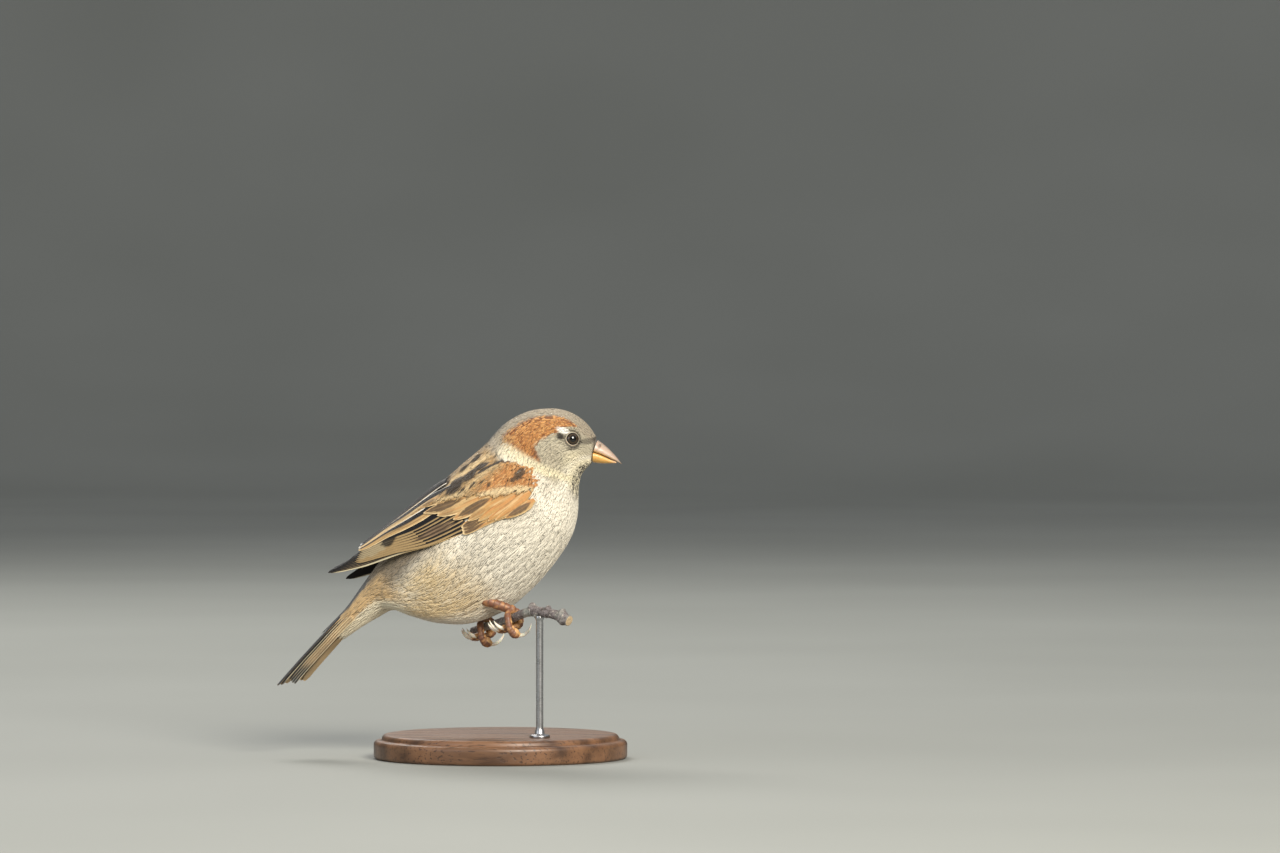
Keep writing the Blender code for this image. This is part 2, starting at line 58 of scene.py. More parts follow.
# Slices of the plumage's outer surface, from the bill to the tail: back x, back z, belly x, belly z,
# half width, height of the widest place (0 belly, 1 back), narrowing of the underside.
BODY = np.array(
    (
        (32.3, 106.1, 30.8, 98.0, 4.0, 0.50, 0.0),  # 0 ring of feathers round the bill
        (29.3, 110.4, 29.0, 96.4, 6.4, 0.50, 0.0),  # 1 lores
        (25.7, 113.4, 27.3, 94.5, 8.8, 0.51, 0.0),  # 2 forehead and eyes
        (21.7, 115.2, 26.3, 92.1, 10.3, 0.51, 0.0),  # 3 fore crown
        (16.5, 115.9, 25.8, 88.8, 11.4, 0.50, 0.0),  # 4 crown and cheeks
        (9.0, 114.8, 25.8, 84.5, 12.7, 0.48, 0.0),  # 5 hind crown
        (1.3, 110.6, 25.3, 79.2, 14.7, 0.46, 0.0),  # 6 nape and throat
        (-5.7, 103.3, 23.0, 72.3, 17.6, 0.47, 0.0),  # 7 neck and upper breast
        (-13.7, 96.5, 17.0, 63.4, 20.2, 0.50, 0.05),  # 8 shoulders
        (-22.7, 88.0, 9.7, 55.4, 20.8, 0.51, 0.18),  # 9 mantle and breast
        (-30.0, 78.8, 1.3, 48.8, 20.0, 0.50, 0.34),  # 10 mid back and belly
        (-36.0, 71.0, -10.0, 44.6, 17.8, 0.48, 0.34),  # 11 lower back
        (-40.7, 64.6, -21.0, 44.7, 14.6, 0.47, 0.15),  # 12 rump
        (-44.3, 59.8, -29.7, 47.0, 11.2, 0.47, 0.0),  # 13 vent
        (-47.7, 55.1, -35.7, 49.0, 8.4, 0.48, 0.0),  # 14 tail root
        (-51.0, 50.5, -41.3, 46.3, 6.6, 0.50, 0.0),  # 15 coverts over and under the tail
        (-54.3, 46.9, -47.0, 42.9, 5.0, 0.50, 0.0),  # 16 tips of the coverts in the solids
        (-57.6, 43.6, -52.2, 39.3, 4.3, 0.50, 0.0),  # 17 long feathers over and under the tail
        (-61.0, 40.2, -57.4, 36.2, 3.8, 0.50, 0.0),  # 18
    )
)
LAST_SLICE = len(BODY) - 1

# The bed of the folded wings, which leaves the back at the rump and runs straight on.
WING_BED = np.array(
    (
        (1.3, 110.6, 25.3, 79.2, 14.7, 0.46, 0.0),  # 0 front of the shoulder
        (-5.7, 103.3, 23.0, 72.3, 17.6, 0.47, 0.0),  # 1
        (-13.7, 96.5, 17.0, 63.4, 20.2, 0.50, 0.0),  # 2
        (-22.9, 88.4, 9.7, 55.8, 20.9, 0.50, 0.0),  # 3
        (-31.2, 80.9, 0.0, 51.5, 20.4, 0.50, 0.0),  # 4
        (-38.6, 75.0, -10.0, 51.0, 18.0, 0.52, 0.0),  # 5
        (-46.4, 69.0, -21.7, 52.6, 14.2, 0.54, 0.0),  # 6
        (-53.8, 64.9, -33.0, 55.2, 10.6, 0.56, 0.0),  # 7
        (-61.5, 61.3, -46.0, 57.8, 7.8, 0.58, 0.0),  # 8 beyond the tip of the wing
    )
)
FAR_WING_SHIFT = np.array((3.2, 0.0, -2.6))
WING_TIP = 7.5
FULLNESS = 0.87
HEAD_RELIEF = (
    (25.2, 106.1, 3.4, -0.7),  # orbit: x, z, radius, outward height
    (29.6, 104.6, 2.6, -0.3),  # lores
    (23.6, 110.3, 3.2, 0.25),  # brow
    (17.5, 99.5, 6.0, 0.7),  # ear coverts
)
TWIG = np.array(
    (
        (-11.4, 13.6, 41.4, 1.25),
        (-6.6, 7.6, 43.0, 1.3),
        (-2.0, 1.0, 44.4, 1.3),
        (2.2, -5.0, 45.7, 1.35),
        (5.8, -10.2, 46.9, 1.4),
        (9.8, -14.2, 48.6, 1.45),
        (13.8, -17.6, 49.5, 1.55),
        (18.0, -20.6, 49.3, 1.6),
        (22.3, -23.2, 48.6, 1.6),
        (26.8, -25.8, 46.9, 1.8),
    )
)
TWIG_KNOBS = (
    (0.30, -60, 0.5, 1.0),  # place, direction round the twig, height, reach
    (0.655, 95, 1.5, 1.25),
    (0.70, -95, 0.9, 1.1),
    (0.80, 115, 1.0, 0.9),
    (0.93, 85, 1.3, 1.2),
    (0.955, -70, 0.7, 1.3),
)
SIDES = ("right", "left")


# ---- Numbers ------------------------------------------------------------------------------------


def ease(low, high, value):
    """0 below low, 1 above high, and the smooth cubic 3s^2 - 2s^3 between them."""
    share = np.clip((value - low) / (high - low), 0, 1)
    return share * share * (3 - 2 * share)


def knots(value, *pairs):
    """Straight lines between (place, value) pairs."""
    table = np.array(pairs, float)
    return np.interp(value, table[:, 0], table[:, 1])


def over(base, colour, share):
    """The base colours with another colour laid over them by share."""
    return base + (np.asarray(colour) - base) * np.asarray(share)[..., None]


def bump_at(value, middle, width):
    """A bell of height 1 about the middle: exp(-((value - middle) / width)^2)."""
    return np.exp(-(((value - middle) / width) ** 2))


def plain(colour, shape):
    """An array of one colour."""
    return np.ones((*shape, 1)) * np.array(colour)


def spot(x, z, at, size, turn):
    """1 inside an ellipse of half sizes (long, short) turned by degrees in the side view, soft-rimmed."""
    c, s = math.cos(math.radians(turn)), math.sin(math.radians(turn))
    u = ((x - at[0]) * c + (z - at[1]) * s) / size[0]
    v = (-(x - at[0]) * s + (z - at[1]) * c) / size[1]
    return 1 - ease(0.6, 1.4, np.sqrt(u * u + v * v))


def ripple(x, y, z, scale, seed=0.0):
    """A cheap smooth noise in -1..1: three crossed sine waves with bent phases."""
    a, b, c = x / scale + seed, y / scale + 1.7 * seed, z / scale - seed
    return (
        np.sin(1.7 * a + 2.3 * np.sin(0.9 * b + 0.4 * c))
        + np.sin(1.3 * b - 1.9 * np.sin(1.1 * c - 0.7 * a))
        + np.sin(2.1 * c + 1.6 * np.sin(0.8 * a + 1.2 * b))
    ) / 3


def grain(u, v, seed=0):
    """Value noise in -1..1 on a grid of whole numbers, smoothly joined: stretched by its u and v."""
    left, low = np.floor(u), np.floor(v)
    a, b = u - left, v - low
    a, b = a * a * (3 - 2 * a), b * b * (3 - 2 * b)

    def draw(i, k):
        wave = np.sin(127.1 * (left + i) + 311.7 * (low + k) + 74.7 * seed)
        return 2 * ((wave * 43758.5453) % 1) - 1

    near = draw(0, 0) * (1 - a) + draw(1, 0) * a
    far = draw(0, 1) * (1 - a) + draw(1, 1) * a
    return near * (1 - b) + far * b


# ---- Sliced forms -------------------------------------------------------------------------------


def rows_at(table, places):
    """The table's rows at fractional places, on a smooth curve through them (Catmull-Rom)."""
    places = np.atleast_1d(np.asarray(places, float))
    last = len(table) - 1
    first = np.clip(np.floor(places).astype(int), 0, last - 1)
    s = (places - first)[:, None]
    before = np.where(first[:, None] > 0, table[first - 1], 2 * table[0] - table[1])
    after_at = np.minimum(first + 2, last)
    after = np.where(first[:, None] + 2 <= last, table[after_at], 2 * table[last] - table[last - 1])
    a, b = table[first], table[first + 1]
    return 0.5 * (
        2 * a + (b - before) * s + (2 * before - 5 * a + 4 * b - after) * s**2
        + (3 * a - before - 3 * b + after) * s**3
    )


def slice_points(table, places, angles):
    """Points of a sliced form. Angle 0 is its back, 90 its right side, 180 its belly.

    Each slice is a slanting chord from belly to back, bowed out sideways by a superellipse."""
    row = rows_at(table, places)
    c, s = np.cos(np.radians(angles)), np.sin(np.radians(angles))
    rise = (1 + c) / 2 + (row[:, 5] - 0.5) * s**2
    s = s * (1 - row[:, 6] * np.clip(1 - rise / 0.5, 0, 1))
    s = np.sign(s) * np.abs(s) ** FULLNESS
    x = row[:, 2] + (row[:, 0] - row[:, 2]) * rise
    z = row[:, 3] + (row[:, 1] - row[:, 3]) * rise
    return np.stack((x, -row[:, 4] * s, z), axis=-1)


def body_form(places, angles):
    """The outer surface of the plumage, with the head's hollows and swellings as soft domes."""
    points = slice_points(BODY, np.clip(places, 0.01, LAST_SLICE - 0.01), angles)
    side = np.clip(np.abs(points[:, 1]) / 5.0, 0, 1) * np.sign(points[:, 1])
    for x, z, radius, height in HEAD_RELIEF:
        near = np.exp(-((points[:, 0] - x) ** 2 + (points[:, 2] - z) ** 2) / radius**2)
        points[:, 1] += height * near * side
    return points


def wing_form(places, angles):
    """The bed of the folded wings. Angles under 0 are the left wing's, whose tip lies a little further
    forward and lower: its shift grows as place^1.5."""
    points = slice_points(WING_BED, np.clip(places, -0.6, 7.99), angles)
    far = np.where(np.asarray(angles) < 0, np.clip(places / WING_TIP, 0, 1) ** 1.5, 0.0)
    return points + far[:, None] * FAR_WING_SHIFT


def wing_edges(places):
    """The angles of a wing's upper and lower edge."""
    high = knots(places, (0, 80), (0.3, 64), (1, 48), (2, 38), (3.6, 27), (4.6, 13), (5.5, 8), (6.3, 9),
                 (6.9, 11), (7.2, 26), (7.5, 50))
    low = knots(places, (0, 84), (0.3, 93), (1, 97), (2, 88), (3, 77), (3.6, 70), (4.4, 67), (5.4, 66),
                (6.4, 66), (7.0, 69), (7.5, 66))
    return high, low


def shoulder_form(places, angles):
    """The coverts' surface: the bed raised by up to 1.6 mm between the wing's edges."""
    point, normal, _, _ = frames_on(wing_form, places, angles)
    high, low = wing_edges(places)
    share = (np.abs(angles) - high) / (low - high)
    rise = 1.6 * ease(-0.25, 0.25, share) * (1 - 0.75 * ease(0.8, 1.12, share)) * ease(-0.5, 0.5, places)
    return point + normal * rise[:, None]


def frames_on(form, places, angles):
    """Point, outward normal, and the two tangents per unit of place and of angle."""
    point = form(places, angles)
    along = (form(places + 0.02, angles) - form(places - 0.02, angles)) / 0.04
    round_ = (form(places, angles + 1) - form(places, angles - 1)) / 2
    normal = np.cross(along, round_)
    normal /= np.maximum(np.linalg.norm(normal, axis=1, keepdims=True), 1e-9)
    return point, normal, along, round_


def unit(vectors):
    return vectors / np.maximum(np.linalg.norm(vectors, axis=-1, keepdims=True), 1e-9)


def dot(a, b):
    return np.sum(a * b, axis=-1)


# ---- Meshes -------------------------------------------------------------------------------------


def make_piece(name, points, faces, material, replaced=(), colours=None, uv=None, smooth=None):
    """One mesh from whole arrays: points in mm, faces as a list of (n, corners) index arrays, and for
    each point its marking's colour and its place on the OFBake map."""
    mesh = bpy.data.meshes.new(name)
    points = np.asarray(points, np.float32).reshape(-1, 3) * MM
    mesh.vertices.add(len(points))
    mesh.vertices.foreach_set("co", points.ravel())
    corner = np.concatenate([np.asarray(f).ravel() for f in faces]).astype(np.int32)
    sizes = np.concatenate([np.full(len(f), np.shape(f)[1]) for f in faces])
    mesh.loops.add(len(corner))
    mesh.loops.foreach_set("vertex_index", corner)
    mesh.polygons.add(len(sizes))
    starts = np.concatenate(([0], np.cumsum(sizes)[:-1])).astype(np.int32)
    mesh.polygons.foreach_set("loop_start", starts)
    mesh.polygons.foreach_set("use_smooth", np.ones(len(sizes), bool) if smooth is None else smooth)
    mesh.update(calc_edges=True)
    if colours is not None:
        rgba = np.ones((len(points), 4), np.float32)
        rgba[:, :3] = np.clip(np.asarray(colours).reshape(-1, 3), 0, 1)
        marked = mesh.color_attributes.new("Marking", "FLOAT_COLOR", "POINT")
        marked.data.foreach_set("color", rgba.ravel())
    if uv is not None:
        flat = np.asarray(uv, np.float32).reshape(-1, 2)[corner]
        mesh.uv_layers.new(name="OFBake").data.foreach_set("uv", flat.ravel())
    mesh.materials.append(material)
    piece = bpy.data.objects.new(name, mesh)
    bpy.context.scene.collection.objects.link(piece)
    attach(piece, "root")
    if replaced:
        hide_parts(*replaced)
    return piece


def give_vectors(piece, name, vectors):
    """A vector for each point of a piece, which its material reads by name."""
    held = piece.data.attributes.new(name, "FLOAT_VECTOR", "POINT")
    held.data.foreach_set("vector", np.asarray(vectors, np.float32).ravel())


def grid_faces(rows, columns):
    """Quads of a grid that closes on itself from its last column to its first. Their normals point along
    (row step) x (column step)."""
    r, k = np.meshgrid(np.arange(rows - 1), np.arange(columns), indexing="ij")
    right = (k + 1) % columns
    quads = (r * columns + k, (r + 1) * columns + k, (r + 1) * columns + right, r * columns + right)
    return np.stack(quads, axis=-1).reshape(-1, 4)


def tube_faces(rows, sides, inside_out=False):
    """Side quads and the two end caps of a closed tube of rings, facing outwards for rings that turn
    anticlockwise when seen from the end, or else turned round with inside_out."""
    ring = np.arange(sides)[None, :]
    faces = [grid_faces(rows, sides)[:, ::-1], ring[:, ::-1], (rows - 1) * sides + ring]
    return [f[:, ::-1] for f in faces] if inside_out else faces


def repeated(faces, stride, count):
    """The same faces for each of many like shapes that follow each other in the points."""
    steps = stride * np.arange(count)[:, None, None]
    return (np.asarray(faces)[None] + steps).reshape(-1, np.shape(faces)[1])


def path_frames(points):
    """Unit tangent and two steady cross directions at each point of a path."""
    tangent = unit(np.gradient(points, axis=0))
    upright = abs(tangent[0][2]) > 0.9
    cross = np.cross(tangent[0], (1.0, 0.0, 0.0) if upright else (0.0, 0.0, 1.0))
    crosses = []
    for t in tangent:
        cross = cross - np.dot(cross, t) * t
        cross = cross / np.linalg.norm(cross)
        crosses.append(cross)
    crosses = np.array(crosses)
    return tangent, crosses, np.cross(crosses, tangent)


def tube_points(path, radii, sides, height=None):
    """Rings round a path. height(share along, direction round) adds to the radius."""
    _, cross, up = path_frames(path)
    turn = np.arange(sides) * 2 * math.pi / sides
    share = np.linspace(0, 1, len(path))[:, None]
    radius = np.asarray(radii, float).reshape(-1, 1) * np.ones((1, sides))
    if height is not None:
        radius = radius + height(share * np.ones((1, sides)), np.ones((len(path), 1)) * turn)
    ring = np.cos(turn)[None, :, None] * cross[:, None] + np.sin(turn)[None, :, None] * up[:, None]
    return path[:, None] + ring * radius[:, :, None]


# ---- Tufts --------------------------------------------------------------------------------------

LOCK_RINGS = 4
COAT_SPREAD = 1.25  # gap between the feathers of a row over the gap between rows, on the body
FACE_SPREAD = 1.2
SHOULDER_SPREAD = 1.1


def lock_template():
    """Faces of one lock: rings of left, ridge and right points that close in a point at the tip."""
    n = LOCK_RINGS
    quads = []
    for r in range(n - 1):
        for k in range(3):
            m = (k + 1) % 3
            quads.append((3 * r + k, 3 * r + 3 + k, 3 * r + 3 + m, 3 * r + m))
    tip = 3 * n
    triangles = [(3 * n - 3 + k, tip, 3 * n - 3 + (k + 1) % 3) for k in range(3)]
    triangles.append((0, 1, 2))
    return np.array(quads), np.array(triangles)


def locks(form, place, angle, lie, along, across, height, width, ridge):
    """Many locks laid on a form, as arrays: (n,) roots and (n, rings + 1) shapes, all in mm.

    The lock's middle line runs along the lie and across it from its root; each of its points is put
    on the form by the root's tangents (the 2 x 2 metric solved for place and angle) and lifted by
    height. Returns the points (n, 3 * rings + 1, 3) and the place and angle of each ring."""
    _, normal, t, a = frames_on(form, place, angle)
    forward = unit(t)
    sideways = np.cross(normal, forward)
    c, s = np.cos(lie)[:, None], np.sin(lie)[:, None]
    lay = c * forward + s * sideways
    beside = np.cross(normal, lay)
    tt, ta, aa = dot(t, t), dot(t, a), dot(a, a)
    det = tt * aa - ta * ta
    steps = []
    for direction in (lay, beside):
        dt, da = dot(direction, t), dot(direction, a)
        steps.append(((aa * dt - ta * da) / det, (tt * da - ta * dt) / det))
    ring_place = place[:, None] + steps[0][0][:, None] * along + steps[1][0][:, None] * across
    ring_angle = angle[:, None] + steps[0][1][:, None] * along + steps[1][1][:, None] * across
    shape = ring_place.shape
    point, normal, _, _ = frames_on(form, ring_place.ravel(), ring_angle.ravel())
    point, normal = point.reshape(*shape, 3), normal.reshape(*shape, 3)
    middle = point + normal * height[..., None]
    heading = unit(np.gradient(middle, axis=1))
    side = unit(np.cross(normal, heading))
    n = LOCK_RINGS
    half = side[:, :n] * width[:, :n, None] / 2
    rings = np.stack((middle[:, :n] - half, middle[:, :n] + normal[:, :n] * ridge[:, :n, None],
                      middle[:, :n] + half), axis=2)
    points = np.concatenate((rings.reshape(len(place), 3 * n, 3), middle[:, n:]), axis=1)
    return points, ring_place, ring_angle


def lock_rings(values):
    """Values at the lock's rings and tip, repeated for each of its points."""
    n = LOCK_RINGS
    body = np.repeat(values[:, :n], 3, axis=1)
    return np.concatenate((body, values[:, n:]), axis=1)


def skin_map(place, angle):
    """Where a place on the skin lies on the skin's own unwrap: along the bird, and round it."""
    along = 0.01 + 0.975 * np.clip(place, 0, LAST_SLICE) / LAST_SLICE
    return np.stack((along, 0.01 + 0.975 * (angle % 360) / 360), axis=-1)


def feather_fans(form, place, angle, lie, length, half_width, depth, count, rng, loose=0.06):
    """Small feathers, each a fan of locks that spread from its root to a rounded edge.

    Lock g in -1..1 of a feather starts 0.1 to 0.35 of the way along, and ends at
    length * (1 - 0.32 g^2) and 0.85 g of the half width. It comes up from the coat's depth by
    (1 - share)^3.2, so that its tip lies along the surface, and is bowed down by g^2 at its sides."""
    n = len(place)
    g = np.linspace(-1, 1, count)[None, :] + rng.normal(0, 0.05, (n, count))
    reach = 1 + rng.normal(0, loose, (n, count))
    share = np.array((0.0, 0.3, 0.62, 0.9, 1.0))
    grid = np.ones((n, count, LOCK_RINGS + 1))
    s = share * grid
    start = (0.1 + 0.25 * (1 - np.abs(g)))[..., None]
    end = ((1 - 0.32 * g**2) * reach)[..., None]
    along = length[:, None, None] * (start + (end - start) * s)
    bend = rng.normal(0, 0.035, (n, count))[..., None]
    across = half_width[:, None, None] * g[..., None] * (0.25 + 0.75 * s**0.75 - 0.18 * s**3)
    across = across + bend * length[:, None, None] * s**2
    level = rng.normal(0, 0.004, (n, 1, 1)) + rng.normal(0, 0.004, (n, count, 1))
    height = -depth[:, None, None] * (0.02 + 0.98 * (1 - np.clip(start + (end - start) * s, 0, 1)) ** 3.2)
    height = height - 0.05 * half_width[:, None, None] * g[..., None] ** 2 * s + level * s
    wide = 3.7 * half_width / count
    width = wide[:, None, None] * np.array((0.7, 1.0, 1.05, 0.8, 0.0))
    width = width * (1 + rng.normal(0, 0.12, (n, count, 1)))
    ridge = 0.035 * width
    repeat = lambda v: np.repeat(v, count)
    flat = lambda v: v.reshape(n * count, LOCK_RINGS + 1)
    points, ring_place, ring_angle = locks(
        form, repeat(place), repeat(angle), repeat(lie), flat(along), flat(across), flat(height),
        flat(width * grid), flat(ridge * grid),
    )
    return {
        "points": points,
        "place": ring_place,
        "angle": ring_angle,
        "root_place": repeat(place),
        "root_angle": repeat(angle),
        "share": flat(s),
        "edge": np.abs(flat(g[..., None] * grid)),
        "feather": np.repeat(np.arange(n), count),
        "along": flat(along),
        "width": flat(width * grid),
    }


def tract(spacing, start, end, low_angle, high_angle, form, rng, crowd):
    """Roots in staggered rows along a form. spacing is the mm between rows, and between neighbours in a
    row times crowd."""
    places, angles = [], []
    place, odd = start, 0
    while place < end:
        ring = np.linspace(low_angle, high_angle, 181)
        line = form(np.full(181, place), ring)
        step = np.linalg.norm(np.diff(line, axis=0), axis=1)
        run = np.concatenate(([0], np.cumsum(step)))
        gap = spacing * crowd
        number = max(3, int(run[-1] / gap))
        at = (np.arange(number) + 0.25 + 0.5 * odd) / number * run[-1]
        at = at + rng.normal(0, 0.12 * gap, number)
        places.append(np.full(number, place))
        angles.append(np.interp(at, run, ring))
        ahead = form(np.full(3, place + 0.05), np.array((10.0, 90.0, 170.0)))
        here = form(np.full(3, place), np.array((10.0, 90.0, 170.0)))
        speed = np.linalg.norm(ahead - here, axis=1).max() / 0.05
        place, odd = place + spacing / speed, 1 - odd
    places, angles = np.concatenate(places), np.concatenate(angles)
    return places + rng.normal(0, 0.02, len(places)), angles


# ---- Markings -----------------------------------------------------------------------------------


def folded(angle):
    """The angle on the bird's right side that stands for this one: 0 back to 180 belly."""
    return np.abs((np.asarray(angle) + 180) % 360 - 180)


def marks(x, z, rows, edge=0.0):
    """0..1 inside dark feather centres, each a pointed lens (x, z, half length, half width, degrees of turn)
    seen from the side. edge moves each outline out or in, so that it breaks up along the feathers."""
    most = np.full(np.shape(x), -9.0)
    for at_x, at_z, long, wide, turn in rows:
        c, s = math.cos(math.radians(turn)), math.sin(math.radians(turn))
        along, across = (x - at_x) * c + (z - at_z) * s, (z - at_z) * c - (x - at_x) * s
        most = np.maximum(most, 1 - (along / long) ** 2 - np.abs(across) / wide)
    return ease(-0.10, 0.22, most + edge)


def stripe(x, z, half, *line):
    """0..1 near a line of (x, z) pairs that runs down and back."""
    inside = (x < line[-1][0] + 1) * (x > line[0][0] - 1)
    return np.exp(-((0.77 * (z - knots(x, *line)) / half) ** 2)) * inside


MANTLE_MARKS = (
    (-4.4, 96.8, 3.4, 1.4, 28), (-7.6, 93.5, 3.2, 1.9, 42), (-12.3, 90.1, 4.6, 2.4, 48),
    (4.6, 99.1, 2.4, 1.3, 20), (0.9, 97.9, 3.0, 0.8, 33), (-2.7, 95.6, 3.4, 0.7, 35),
    (-7.0, 99.4, 2.8, 0.8, 38), (-10.6, 96.4, 2.4, 0.7, 40), (-20.0, 89.4, 6.6, 1.7, 43),
    (-16.6, 91.2, 2.2, 0.9, 45), (-17.3, 87.8, 2.2, 0.8, 50), (-0.9, 90.5, 1.2, 0.8, 60),
    (-3.4, 91.2, 1.0, 0.45, 45), (-6.2, 90.2, 1.8, 0.45, 50), (-9.4, 88.6, 2.0, 0.5, 45),
)
REMEX_MARKS = ((-35.3, 72.2, 3.0, 1.9, 27), (-17.8, 76.2, 5.4, 1.6, 22), (-23.0, 73.8, 3.0, 0.7, 24))


def mantle_colour(angle, x, y, z, ink, whim):
    """The back between and on the folded wings: olive-buff with pale braces and rows of black centres."""
    a = np.abs(angle)
    fine = ripple(x, y, z, 0.5)
    rough = ripple(x, y, z, 1.2, 2.0)
    colour = plain(ink.mantle, np.shape(x))
    colour = over(colour, ink.covert, 0.7 * ease(0.35, 0.8, whim + 0.2 * rough) * ease(30, 44, a))
    colour = over(colour, ink.olive, 0.75 * ease(0.5, 0.15, whim + 0.2 * fine))
    colour = over(colour, ink.crown, 0.6 * (1 - ease(16, 30, a)))
    first = stripe(x, z, 1.05, (-21.9, 85.8), (-15.1, 91.4), (-8.4, 96.4), (-2.8, 100.3))
    second = stripe(x, z, 0.8, (-11.7, 86.8), (-7.0, 89.8), (-3.5, 93.7), (0.9, 97.2))
    third = stripe(x, z, 0.45, (-18.2, 84.7), (-14.1, 86.0), (-10.2, 87.2))
    pale = np.clip(first + 0.8 * second + third, 0, 1) * ease(14, 24, a)
    colour = over(colour, ink.cream, pale * (0.62 + 0.38 * ease(0.2, 0.7, whim)))
    dark = marks(x, z, MANTLE_MARKS, 0.30 * (whim - 0.5) + 0.08 * fine)
    colour = over(colour, ink.black, 0.94 * dark)
    return colour


EYE_AXIS = np.array((0.364, 0.920, 0.142))  # outwards from the left eye; the right eye's mirrors it


def round_eye(points, centre):
    """Along and off the axis of the eye on the same side of the head: how far points lie outwards from
    the eye's centre, and how far from its axis. centre is the left eye's."""
    away = np.stack((points[..., 0], np.abs(points[..., 1]), points[..., 2]), axis=-1) - centre
    along = away @ unit(EYE_AXIS)
    return along, np.sqrt(np.clip((away**2).sum(axis=-1) - along**2, 0, None))


